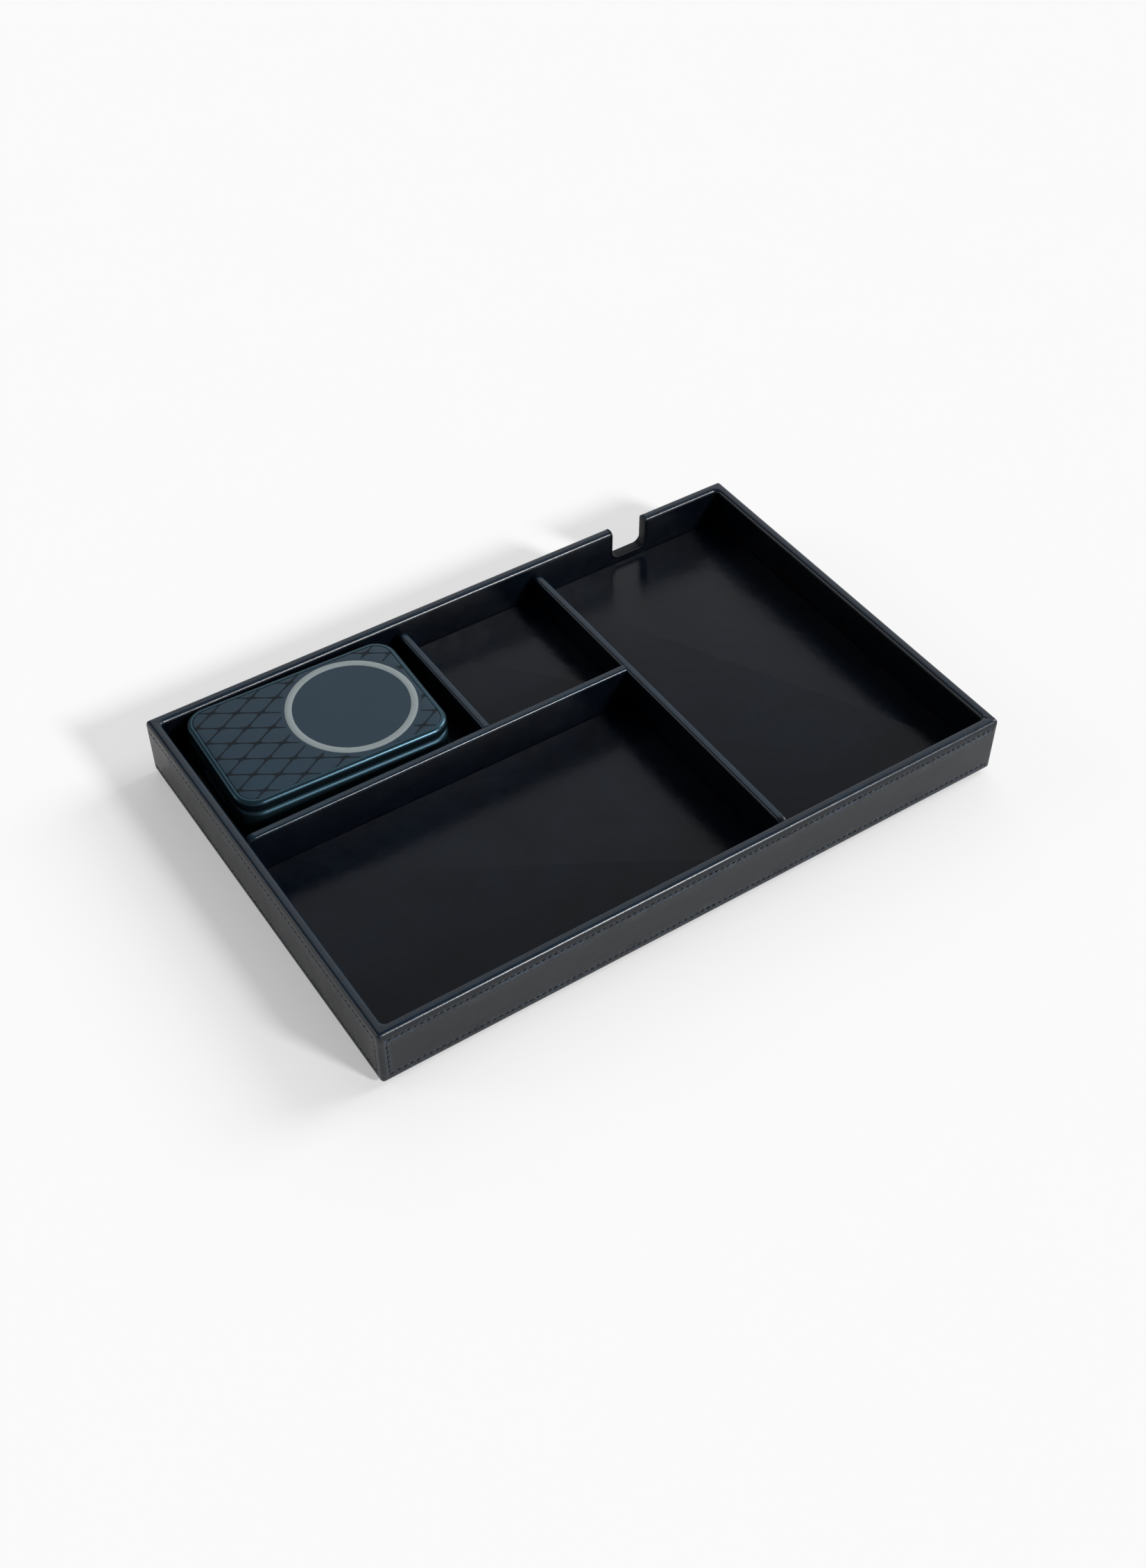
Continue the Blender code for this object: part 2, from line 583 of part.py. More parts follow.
def make_socket(name, parts, cutters, metal):
    """USB-C socket with its mouth at its origin, looking along its own +Z."""
    outline = rounded_outline(SOCKET_WIDTH, SOCKET_HEIGHT, SOCKET_HEIGHT / 2 - SOCKET_SHELL)
    bore_height = SOCKET_HEIGHT - 2 * SOCKET_SHELL
    bore = rounded_outline(SOCKET_WIDTH - 2 * SOCKET_SHELL, bore_height, bore_height / 2 - SOCKET_SHELL)
    shell = plate(name, outline, SOCKET_LENGTH, parts, metal)
    shell.data.transform(Matrix.Translation((0, 0, -SOCKET_LENGTH / 2)))
    room = level_plate(name + "_bore", bore, -SOCKET_BORE_DEPTH, OVERRUN, cutters, parent=shell)
    x = SOCKET_TONGUE_WIDTH / 2
    y = SOCKET_TONGUE_HEIGHT / 2
    tongue = block(name + "_tongue", (-x, -y, -SOCKET_LENGTH), (x, y, -SOCKET_TONGUE_SETBACK), cutters,
                   parent=shell)
    combine(room, tongue)
    combine(shell, room)
    smooth(shell)
    return shell


# Charging module, in the frame of an empty that lies under the middle of its outline

def module_outline(inset):
    return rounded_outline(MODULE_LENGTH - 2 * inset, MODULE_WIDTH - 2 * inset, MODULE_CORNER - inset)


def module_plate(name, inset, low, high, module, collection, material=None):
    return level_plate(name, module_outline(inset), low, high, collection, material, parent=module)


def port_cutter(name, outline, depth, module, cutters):
    """A hole from outside into the module's left end, as deep as stated."""
    cutter = plate(name, outline, OVERRUN + depth, cutters)
    middle = (depth - OVERRUN - MODULE_LENGTH) / 2
    return place(cutter, (middle, 0, PORT_Z), (QUARTER_TURN, 0, QUARTER_TURN), module)


def make_lower_shell(module, parts, cutters, blue):
    shell = module_plate("module_lower_shell", 0.0, MODULE_LOW, LOWER_TOP, module, parts, blue)
    round_rims(shell, LEAF_TOP_ROUND, MODULE_FOOT_ROUND)
    floor = MODULE_LOW + SHELL_FLOOR
    combine(shell, module_plate("lower_room", SHELL_WALL, floor, LOWER_TOP + OVERRUN, module, cutters))
    recess = rounded_outline(PORT_RECESS_WIDTH, PORT_RECESS_HEIGHT, PORT_RECESS_ROUND)
    combine(shell, port_cutter("port_recess", recess, PORT_RECESS_DEPTH, module, cutters))
    hole = rounded_outline(SOCKET_WIDTH + 2 * SOCKET_CLEARANCE, SOCKET_HEIGHT + 2 * SOCKET_CLEARANCE,
                           SOCKET_HEIGHT / 2 - SOCKET_SHELL)
    combine(shell, port_cutter("port_hole", hole, SHELL_WALL + SOCKET_RECESS, module, cutters))
    smooth(shell)


def make_upper_frame(module, parts, cutters, blue):
    """Rounded frame round the face panel, with a skirt that drops into the lower shell."""
    frame = module_plate("module_upper_frame", 0.0, UPPER_LOW, MODULE_TOP, module, parts, blue)
    round_rims(frame, LEAF_TOP_ROUND, LEAF_LOWER_ROUND)
    skirt_low = LOWER_TOP - SKIRT_LENGTH
    skirt_top = UPPER_LOW + LEAF_FLOOR / 2
    combine(frame, module_plate("skirt", SKIRT_INSET, skirt_low, skirt_top, module, cutters), "UNION")
    under = module_plate("skirt_room", SKIRT_INSET + SKIRT_WALL, skirt_low - OVERRUN, UPPER_LOW, module, cutters)
    seat = module_plate("face_seat", FACE_BORDER, FACE_LOW - GAP, MODULE_TOP + OVERRUN, module, cutters)
    room = module_plate("upper_room", FACE_BORDER + FACE_LEDGE, UPPER_LOW + LEAF_FLOOR,
                        MODULE_TOP + OVERRUN, module, cutters)
    for cutter in (under, seat, room):
        combine(frame, cutter)
    smooth(frame)


def make_face(module, parts, cutters, navy, pale):
    panel = module_plate("module_face_panel", FACE_BORDER + GAP, FACE_LOW, MODULE_TOP, module, parts, navy)
    round_rims(panel, FACE_EDGE_ROUND, FACE_EDGE_ROUND, segments=1)
    inner = RING_OUTER - 2 * RING_BAND
    ring_low = MODULE_TOP - RING_THICKNESS
    groove = level_plate("ring_groove", circle(RING_OUTER + 2 * GAP), ring_low - GAP, MODULE_TOP + OVERRUN,
                         cutters, None, (circle(inner - 2 * GAP),), (RING_X, 0), module)
    combine(panel, groove)
    ring = level_plate("module_ring", circle(RING_OUTER), ring_low, MODULE_TOP, parts, pale,
                       (circle(inner),), (RING_X, 0), module)
    smooth(panel)
    smooth(ring)


def make_upper_inside(module, parts, grey, copper, steel):
    """Ferrite, coil and magnet ring under the face panel."""
    floor = UPPER_LOW + LEAF_FLOOR + GAP
    centre = (RING_X, 0)
    coil_low = floor + MODULE_FERRITE_THICKNESS + GAP
    shield = level_plate("module_ferrite", circle(MODULE_FERRITE_SIZE), floor,
                         floor + MODULE_FERRITE_THICKNESS, parts, grey, (), centre, module)
    coil = level_plate("module_coil", circle(MODULE_COIL_OUTER), coil_low, coil_low + MODULE_COIL_THICKNESS,
                       parts, copper, (circle(MODULE_COIL_INNER),), centre, module)
    magnets = level_plate("module_magnet_ring", circle(MAGNET_RING_OUTER), floor, floor + MAGNET_THICKNESS,
                          parts, steel, (circle(MAGNET_RING_INNER),), centre, module)
    for piece in (shield, coil, magnets):
        smooth(piece)


def make_lower_inside(module, parts, cutters, green, foil, steel):
    """Cell, circuit board and port in the lower shell."""
    cell_x = MODULE_END_X - CELL_CORNER - CELL_LENGTH / 2
    cell = level_plate("module_battery", rounded_outline(CELL_LENGTH, CELL_WIDTH, CELL_CORNER), IN_MODULE,
                       IN_MODULE + CELL_THICKNESS, parts, foil, centre=(cell_x, 0), parent=module)
    smooth(cell)
    left = GAP - MODULE_END_X
    half = MODULE_SIDE_Y - MODULE_BOARD_SIDE_ROOM
    block("module_board", (left, -half, IN_MODULE),
          (left + MODULE_BOARD_LENGTH, half, IN_MODULE + MODULE_BOARD_THICKNESS), parts, green, module)
    port = make_socket("module_socket", parts, cutters, steel)
    place(port, (PORT_MOUTH_X, 0, PORT_Z), (QUARTER_TURN, 0, -QUARTER_TURN), module)


def make_module(parts, cutters, colours):
    """The module is placed by an empty at its middle, turned a little in its bay."""
    module = bpy.data.objects.new("charging_module", None)
    parts.objects.link(module)
    place(module, (MODULE_X, MODULE_Y, 0), (0, 0, MODULE_TURN))
    make_lower_shell(module, parts, cutters, colours["blue"])
    make_upper_frame(module, parts, cutters, colours["blue"])
    make_face(module, parts, cutters, colours["navy"], colours["pale"])
    make_upper_inside(module, parts, colours["ferrite"], colours["copper"], colours["steel"])
    make_lower_inside(module, parts, cutters, colours["circuit"], colours["foil"], colours["steel"])


def make_colours():
    return {"leather": make_material("navy leather", (0.010, 0.014, 0.022), 0.38),
            "board": make_material("grey board", (0.30, 0.27, 0.23), 0.85),
            "black": make_material("black underside sheet", (0.008, 0.008, 0.009), 0.7),
            "plastic": make_material("black plastic", (0.015, 0.015, 0.016), 0.5),
            "circuit": make_material("circuit board", (0.02, 0.09, 0.05), 0.5),
            "ferrite": make_material("ferrite", (0.05, 0.05, 0.055), 0.6),
            "copper": make_material("copper coil", (0.70, 0.30, 0.15), 0.35, 1.0),
            "steel": make_material("nickel steel", (0.55, 0.55, 0.56), 0.3, 1.0),
            "foil": make_material("battery foil", (0.45, 0.46, 0.48), 0.4, 0.6),
            "blue": make_material("petrol blue metal", (0.018, 0.045, 0.065), 0.32, 0.8),
            "navy": make_material("navy face", (0.012, 0.030, 0.045), 0.42),
            "pale": make_material("pale ring", (0.28, 0.31, 0.34), 0.45)}


def main():
    clear_scene()
    parts = make_collection("charging_valet_tray")
    cutters = make_collection("cutters")
    colours = make_colours()
    leather, board = colours["leather"], colours["board"]
    make_walls(parts, cutters, leather, board)
    make_notch_binding(parts, leather)
    make_base(parts, board, colours["black"])
    make_floors(parts, cutters, leather, board)
    make_dividers(parts, cutters, leather, board)
    make_case(parts, cutters, colours["plastic"])
    make_transmitter_inside(parts, cutters, colours["circuit"], colours["ferrite"], colours["copper"])
    inlet = make_socket("transmitter_socket", parts, cutters, colours["steel"])
    place(inlet, (PHONE_BAY_X, HALF_WIDTH - SOCKET_RECESS, TX_SOCKET_Z), (-QUARTER_TURN, 0, 0))
    make_module(parts, cutters, colours)


main()
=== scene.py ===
import math

import bmesh
import bpy
from mathutils import Matrix, Vector


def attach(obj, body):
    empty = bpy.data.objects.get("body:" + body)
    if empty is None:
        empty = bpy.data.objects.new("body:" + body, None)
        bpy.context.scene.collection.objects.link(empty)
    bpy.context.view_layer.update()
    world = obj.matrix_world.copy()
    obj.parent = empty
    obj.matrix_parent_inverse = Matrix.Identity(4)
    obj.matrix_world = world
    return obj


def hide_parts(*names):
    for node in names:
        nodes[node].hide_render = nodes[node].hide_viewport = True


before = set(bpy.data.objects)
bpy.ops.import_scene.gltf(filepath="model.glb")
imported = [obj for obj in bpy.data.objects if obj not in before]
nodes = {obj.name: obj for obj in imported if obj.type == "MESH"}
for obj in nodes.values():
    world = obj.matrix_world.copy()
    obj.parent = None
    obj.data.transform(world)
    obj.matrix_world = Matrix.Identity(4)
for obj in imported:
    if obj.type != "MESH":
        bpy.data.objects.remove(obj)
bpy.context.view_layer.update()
mm = 0.001
print("frame loaded:", len(nodes), "nodes")


# small tools; sizes are in millimetres everywhere and turn into metres where Blender takes them

def clearSelection():
    if bpy.context.mode != "OBJECT":
        bpy.ops.object.mode_set(mode="OBJECT")
    bpy.ops.object.select_all(action="DESELECT")


def makeActive(*pieces):
    clearSelection()
    for piece in pieces:
        piece.select_set(True)
    bpy.context.view_layer.objects.active = pieces[0]


def applyPlace(piece):
    makeActive(piece)
    bpy.ops.object.transform_apply(location=True, rotation=True, scale=True)


def nameActive(name):
    piece = bpy.context.object
    piece.name = name
    piece.data.name = name
    return piece


def addBlock(name, low, high):
    clearSelection()
    middle = [(a + b) / 2 * mm for a, b in zip(low, high)]
    size = [(b - a) * mm for a, b in zip(low, high)]
    bpy.ops.mesh.primitive_cube_add(size=1, location=middle, scale=size)
    bpy.ops.object.transform_apply(location=True, rotation=True, scale=True)
    return nameActive(name)


def edit(piece):
    makeActive(piece)
    bpy.ops.object.mode_set(mode="EDIT")


def pick(piece, kind, test):
    # selects by place: a vertex by its point, an edge by its two ends, a face by its middle and normal
    bpy.ops.mesh.select_mode(type=kind)
    bpy.ops.mesh.select_all(action="DESELECT")
    shape = bmesh.from_edit_mesh(piece.data)
    if kind == "VERT":
        found = [v for v in shape.verts if test(v.co / mm)]
    elif kind == "EDGE":
        found = [e for e in shape.edges if test(e.verts[0].co / mm, e.verts[1].co / mm)]
    else:
        found = [f for f in shape.faces if test(f.calc_center_median() / mm, f.normal)]
    for item in found:
        item.select_set(True)
    shape.select_flush_mode()
    bmesh.update_edit_mesh(piece.data)


def along(a, b, axis):
    d = b - a
    return abs(d[axis]) > 0.999 * d.length and d.length > 1e-6


def near(value, target, reach=0.02):
    return abs(value - target) < reach


def roundPicked(radius, segments):
    bpy.ops.mesh.bevel(offset=radius * mm, segments=segments, profile=0.5, affect="EDGES",
                       clamp_overlap=False)


def movePicked(x, y, z):
    bpy.ops.transform.translate(value=(x * mm, y * mm, z * mm))


def extrudePicked(x, y, z):
    bpy.ops.mesh.extrude_region_move(TRANSFORM_OT_translate={"value": (x * mm, y * mm, z * mm)})


def insetPicked(width):
    bpy.ops.mesh.inset(thickness=width * mm, depth=0)


def slicePicked(point, normal, cutAway=False):
    bpy.ops.mesh.bisect(plane_co=[p * mm for p in point], plane_no=normal, clear_outer=cutAway,
                        threshold=1e-7)


def sliceAll(point, normal, cutAway=False):
    bpy.ops.mesh.select_mode(type="FACE")
    bpy.ops.mesh.select_all(action="SELECT")
    slicePicked(point, normal, cutAway)


def addModifier(piece, kind, **settings):
    makeActive(piece)
    modifier = piece.modifiers.new(kind.title(), kind)
    for key, value in settings.items():
        setattr(modifier, key, value)
    bpy.ops.object.modifier_apply(modifier=modifier.name)


def cutWith(piece, cutter, operation="DIFFERENCE"):
    addModifier(piece, "BOOLEAN", operation=operation, object=cutter, solver="EXACT")
    bpy.data.objects.remove(cutter, do_unlink=True)


def thicken(piece, thickness):
    addModifier(piece, "SOLIDIFY", thickness=thickness * mm, offset=-1.0, use_even_offset=True)


def softenEdges(piece, width, segments, angle):
    addModifier(piece, "BEVEL", width=width * mm, segments=segments, limit_method="ANGLE",
                angle_limit=math.radians(angle))


def smoothPiece(piece, angle):
    makeActive(piece)
    bpy.ops.object.shade_smooth_by_angle(angle=math.radians(angle))


def weldPiece(piece):
    # closes up the slivers that cuts leave
    edit(piece)
    bpy.ops.mesh.select_all(action="SELECT")
    bpy.ops.mesh.remove_doubles(threshold=0.002 * mm)
    bpy.ops.mesh.dissolve_degenerate(threshold=0.001 * mm)
    clearSelection()


def placePiece(piece, x, y, turn):
    piece.location = (x * mm, y * mm, 0)
    piece.rotation_euler = (0, 0, turn)
    applyPlace(piece)


def joinPieces(name, pieces):
    makeActive(*pieces)
    bpy.ops.object.join()
    return nameActive(name)


def dress(piece, material, body, slot, *replaced):
    piece.data.materials.clear()
    piece.data.materials.append(material)
    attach(piece, body)
    if replaced:
        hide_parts(*replaced)
    return piece


# nodes of materials and of the world

class Wiring:
    def __init__(self, tree, coords="Object"):
        self.tree = tree
        self.place = self.add("ShaderNodeTexCoord").outputs[coords]

    def add(self, kind, **settings):
        node = self.tree.nodes.new(kind)
        for key, value in settings.items():
            setattr(node, key, value)
        return node

    def plug(self, target, value):
        if isinstance(value, bpy.types.NodeSocket):
            self.tree.links.new(value, target)
        else:
            target.default_value = value

    def mapped(self, scale=(1, 1, 1), turn=(0, 0, 0), shift=(0, 0, 0), source=None):
        node = self.add("ShaderNodeMapping")
        self.plug(node.inputs["Vector"], source or self.place)
        node.inputs["Scale"].default_value = scale
        node.inputs["Rotation"].default_value = turn
        node.inputs["Location"].default_value = shift
        return node.outputs["Vector"]

    def noise(self, size, detail=3.0, rough=0.55, source=None, distort=0.0):
        node = self.add("ShaderNodeTexNoise")
        self.plug(node.inputs["Vector"], source or self.place)
        node.inputs["Scale"].default_value = 1 / (size * mm)
        node.inputs["Detail"].default_value = detail
        node.inputs["Roughness"].default_value = rough
        node.inputs["Distortion"].default_value = distort
        return node.outputs["Fac"]

    def cells(self, size, feature="F1", source=None):
        node = self.add("ShaderNodeTexVoronoi", feature=feature)
        self.plug(node.inputs["Vector"], source or self.place)
        node.inputs["Scale"].default_value = 1 / (size * mm)
        return node.outputs["Distance"]

    def bands(self, size, direction, distort=0.0):
        node = self.add("ShaderNodeTexWave", wave_type="BANDS", bands_direction=direction)
        return self.waves(node, size, self.place, distort)

    def rings(self, size, source):
        node = self.add("ShaderNodeTexWave", wave_type="RINGS", rings_direction="Z")
        return self.waves(node, size, source, 0.0)

    def waves(self, node, size, source, distort):
        # a wave texture at scale 1 repeats every 2 pi / 20 of a metre
        self.plug(node.inputs["Vector"], source)
        node.inputs["Scale"].default_value = 2 * math.pi / 20 / (size * mm)
        node.inputs["Distortion"].default_value = distort
        return node.outputs["Fac"]

    def attribute(self, name):
        return self.add("ShaderNodeAttribute", attribute_name=name).outputs["Fac"]

    def span(self, value, low, high, toLow=0.0, toHigh=1.0, smooth=False):
        node = self.add("ShaderNodeMapRange", interpolation_type="SMOOTHSTEP" if smooth else "LINEAR")
        self.plug(node.inputs["Value"], value)
        limits = {"From Min": low, "From Max": high, "To Min": toLow, "To Max": toHigh}
        for name, number in limits.items():
            node.inputs[name].default_value = number
        return node.outputs["Result"]

    def math(self, operation, a, b=0.0, c=0.0):
        node = self.add("ShaderNodeMath", operation=operation)
        for socket, value in zip(node.inputs, (a, b, c)):
            self.plug(socket, value)
        return node.outputs[0]

    def blend(self, a, shareOfA, b, shareOfB):
        return self.math("MULTIPLY_ADD", a, shareOfA, self.math("MULTIPLY", b, shareOfB))

    def mix(self, fac, a, b):
        node = self.add("ShaderNodeMix", data_type="RGBA", blend_type="MIX")
        self.plug(node.inputs[0], fac)
        for socket, value in ((node.inputs[6], a), (node.inputs[7], b)):
            self.plug(socket, (*value, 1.0) if isinstance(value, tuple) else value)
        return node.outputs[2]

    def axis(self, name, source=None):
        node = self.add("ShaderNodeSeparateXYZ")
        self.plug(node.inputs[0], source or self.place)
        return node.outputs[name]

    def bump(self, height, depth, strength=1.0, under=None):
        node = self.add("ShaderNodeBump")
        node.inputs["Strength"].default_value = strength
        node.inputs["Distance"].default_value = depth * mm
        self.plug(node.inputs["Height"], height)
        if under is not None:
            self.plug(node.inputs["Normal"], under)
        return node.outputs["Normal"]


class Recipe(Wiring):
    def __init__(self, name):
        self.material = bpy.data.materials.new(name)
        self.material.use_nodes = True
        super().__init__(self.material.node_tree)
        self.shader = self.tree.nodes["Principled BSDF"]

    def finish(self, colour, roughness, normal, **fixed):
        self.plug(self.shader.inputs["Base Color"], colour)
        self.plug(self.shader.inputs["Roughness"], roughness)
        self.plug(self.shader.inputs["Normal"], normal)
        for key, value in fixed.items():
            self.shader.inputs[key.replace("_", " ")].default_value = value
        return self.material


# leather and thread

leatherLooks = {
    "deep": (0.0006, 0.0014, 0.0034), "light": (0.0014, 0.0034, 0.0075),
    # the two pale colours on the next line are painted light: one for the top edge, one for highlights at
    # the seams
    "paintedTopLight": (0.0020, 0.0120, 0.0260), "paintedSeamHighlight": (0.030, 0.055, 0.085),
    "mottle": 26, "cloud": 6, "scuff": 0.7,
    "grain": 0.55, "grainDepth": 0.014, "pore": 0.22, "poreDepth": 0.006,
    "wave": 14.0, "waveDepth": 0.20, "wrinkle": 1.9, "wrinkleDepth": 0.02,
    "gather": 0.85, "gatherLean": 0.5, "gatherStretch": 0.35, "gatherDepth": 0.17,
    "topLightFrom": 1.6, "topLightTo": 0.1, "topLightGloss": -0.07,  # painted top light: paler and bluer over this much of the top edge
    "puckerHighlightTone": 0.8, "strokeHighlightTone": 0.45, "bandMatt": 0.22,
}


def gatherNoise(r):
    # short leaning strokes where a seam draws the leather together; X + Y is the way along any wall
    looks = leatherLooks
    up = r.axis("Z")
    way = r.add("ShaderNodeCombineXYZ")
    forward = r.math("ADD", r.axis("X"), r.axis("Y"))
    r.plug(way.inputs[0], r.math("MULTIPLY_ADD", up, looks["gatherLean"], forward))
    r.plug(way.inputs[2], r.math("MULTIPLY", up, looks["gatherStretch"]))
    return r.noise(looks["gather"], 2, 0.5, way.outputs[0])


def leatherMaterial(name, glossLow, glossHigh, topLightHeight=None, waveDepth=None, specular=0.5, lift=1.0,
                    paintedTopLight=None, sewn=False, grainShare=1.0):
    looks = leatherLooks
    r = Recipe(name)
    mottle = r.noise(looks["mottle"], 5, 0.6)
    cloud = r.noise(looks["cloud"], 4, 0.65)
    deep = tuple(c * lift for c in looks["deep"])
    light = tuple(c * lift for c in looks["light"])
    colour = r.mix(r.span(r.blend(cloud, 0.45, mottle, 0.6), 0.38, 0.68), deep, light)
    scuff = r.noise(looks["scuff"], 3, 0.6, r.mapped((1, 0.3, 1), (0.2, 0.1, 0.7)))
    rough = r.span(r.blend(cloud, 0.7, scuff, 0.3), 0.3, 0.7, glossLow, glossHigh)
    if sewn:
        # painted highlights: the puckers below the stitches and the gathered strokes along the seams are
        # mixed to a pale blue, standing in for light catching the puckered leather
        gathers = gatherNoise(r)
        puckerHighlightMask = r.math("MULTIPLY", r.attribute("puckerHighlight"), r.span(gathers, 0.35, 0.60, 0.30, 1.0))
        colour = r.mix(r.math("MULTIPLY", puckerHighlightMask, looks["puckerHighlightTone"]), colour, looks["paintedSeamHighlight"])
        pull = r.attribute("pull")
        strokeHighlightMask = r.math("MULTIPLY", pull, r.span(gathers, 0.48, 0.62))
        colour = r.mix(r.math("MULTIPLY", strokeHighlightMask, looks["strokeHighlightTone"]), colour, looks["paintedSeamHighlight"])
    # painted top light: the colour turns paler and bluer over the top edge by height, broken up by random
    # cloud tone; the roughness drops on the same band
    if topLightHeight:
        topLightFrom, topLightTo = (topLightHeight - looks["topLightFrom"]) * mm, (topLightHeight - looks["topLightTo"]) * mm
        topLight = r.span(r.axis("Z"), topLightFrom, topLightTo, smooth=True)
        topLight = r.math("MULTIPLY", topLight, r.span(cloud, 0.3, 0.65, 0.55, 1.0))
        colour = r.mix(topLight, colour, paintedTopLight or looks["paintedTopLight"])
        rough = r.math("MULTIPLY_ADD", topLight, looks["topLightGloss"], rough)
    if sewn:
        rough = r.math("MULTIPLY_ADD", r.attribute("band"), looks["bandMatt"], rough)
    grain = r.cells(looks["grain"], "SMOOTH_F1", r.mapped((1, 1, 1), (0.3, 0.2, 0.1)))
    wrinkle = r.noise(looks["wrinkle"], 3, 0.6, distort=0.4)
    normal = r.bump(r.noise(looks["wave"], 2, 0.5), waveDepth or looks["waveDepth"])
    normal = r.bump(wrinkle, looks["wrinkleDepth"], 1.0, normal)
    if sewn:
        normal = r.bump(r.math("MULTIPLY", pull, gathers), looks["gatherDepth"], 1.0, normal)
    normal = r.bump(grain, looks["grainDepth"] * grainShare, 0.8, normal)
    normal = r.bump(r.noise(looks["pore"], 3, 0.6), looks["poreDepth"] * grainShare, 0.9, normal)
    return r.finish(colour, rough, normal, Specular_IOR_Level=specular)


def threadMaterial():
    r = Recipe("navyThread")
    twist = r.bands(0.32, "DIAGONAL", distort=1.5)
    colour = r.mix(twist, (0.0030, 0.0038, 0.0060), (0.011, 0.015, 0.024))
    return r.finish(colour, r.span(r.noise(0.4), 0.3, 0.7, 0.55, 0.75), r.bump(twist, 0.05, 1.0))


# leather-covered walls; in a wall's own frame X runs along it and Y inward from its outer face

tray = {"halfLength": 125.0, "halfWidth": 82.5, "wall": 4.2, "rim": 25.0, "foot": 1.5, "onBase": 4.1}
wallLooks = {
    "leather": 0.9, "unrolled": 49.5, "rimRound": 1.7, "footRound": 1.2, "turnUnder": 3.0,
    "outerCorner": 1.35, "innerCorner": 1.5, "seam": 0.012, "creaseReach": 0.8,
    "stitchTop": 21.3, "stitchFoot": 4.4, "stitchEnd": 2.9, "pitch": 2.33, "cellsPerStitch": 4,
    "grooveDepth": 0.26, "grooveEdge": 0.3, "holeDepth": 0.22, "holeEdge": 0.5,
    "puff": 0.16, "puffDip": 0.6,
    # where the mesh has lines: across a stitch row, up the face, and in from each end
    "rowLines": (-1.3, -0.8, -0.4, 0.0, 0.4, 0.8, 1.3), "faceLines": (8.5, 12.7, 17.0),
    "endLines": (0.29, 0.87, 1.46, 2.1, 2.5, 3.3, 3.7, 4.37, 4.95, 5.53),
}
# where the painted pucker highlight lies below each stitch row and beside the upright row, and how far the
# seam gathers and the matt band reach
puckerLooks = {
    "from": 0.3, "turnAt": 0.6, "to": 1.0, "lean": 0.25, "least": 0.12, "sharpness": 1.5,
    "topShare": 1.0, "footShare": 0.5, "uprightFrom": 0.2, "uprightTo": 0.9, "uprightShare": 0.4,
    "pullReach": 2.2, "bandAbove": 0.5, "bandTop": 23.9, "bandOnLeft": -0.2, "bandElsewhere": 1.0,
}
stitchLooks = {"length": 1.75, "width": 0.42, "slant": 21, "endsFrom": 0.3, "endsDip": 0.14, "sunk": 0.10}
cornerCrease = {"frontLeft": 0.04, "frontRight": 0.24, "backRight": 0.10, "backLeft": 0.04}
notch = {"width": 15.4, "floor": 12.0, "corner": 3.0, "x": 78.55, "reveal": 0.06, "proud": 0.08,
         "edge": 0.28, "stitchGap": 3.0, "cutAbove": 5.0, "trimReach": 20.0}
inlet = {"width": 9.74, "height": 3.96, "z": 6.58, "flatSide": 0.3}
cutPast = 3.0  # how far a cutter reaches past both faces of a wall


def stitchHoles(half):
    # places of the holes along a wall, from the stitch nearest one corner to that nearest the other
    run = half - wallLooks["stitchEnd"]
    count = round(2 * run / wallLooks["pitch"])
    return [-run + 2 * run * k / count for k in range(count + 1)]


def wallSheet(name, half):
    w = wallLooks
    wall, foot, rim = tray["wall"], tray["foot"], tray["rim"]
    run = half - w["stitchEnd"]
    piece = addBlock(name, (-run, 0, foot), (run, wall, rim))
    edit(piece)
    pick(piece, "FACE", lambda c, n: abs(n.x) > 0.9 or n.z < -0.9)
    bpy.ops.mesh.delete(type="FACE")
    pick(piece, "VERT", lambda p: near(p.y, wall) and near(p.z, foot))
    movePicked(0, 0, tray["onBase"] - foot)
    pick(piece, "EDGE", lambda a, b: near(a.y, 0) and near(b.y, 0) and near(a.z, foot) and along(a, b, 0))
    extrudePicked(0, w["turnUnder"], 0)
    pick(piece, "EDGE", lambda a, b: near(a.z, rim) and near(b.z, rim) and along(a, b, 0))
    roundPicked(w["rimRound"], segments=9)
    pick(piece, "EDGE", lambda a, b: near(a.y, 0) and near(a.z, foot) and along(a, b, 0))
    roundPicked(w["footRound"], segments=5)
    for middle in (w["stitchTop"], w["stitchFoot"]):
        for offset in w["rowLines"]:
            pick(piece, "FACE", lambda c, n: n.y < -0.9)
            slicePicked((0, 0, middle + offset), (0, 0, 1))
    for height in w["faceLines"]:
        pick(piece, "FACE", lambda c, n: abs(n.y) > 0.9)
        slicePicked((0, 0, height), (0, 0, 1))
    pick(piece, "EDGE", lambda a, b: along(a, b, 0))
    bpy.ops.mesh.subdivide(number_cuts=w["cellsPerStitch"] * (len(stitchHoles(half)) - 1) - 1)
    for side in (1, -1):
        pick(piece, "EDGE", lambda a, b: near(a.x, side * run) and near(b.x, side * run))
        extrudePicked(side * w["stitchEnd"], 0, 0)
        for inward in w["endLines"]:
            sliceAll((side * (half - inward), 0, 0), (1, 0, 0))
    return piece


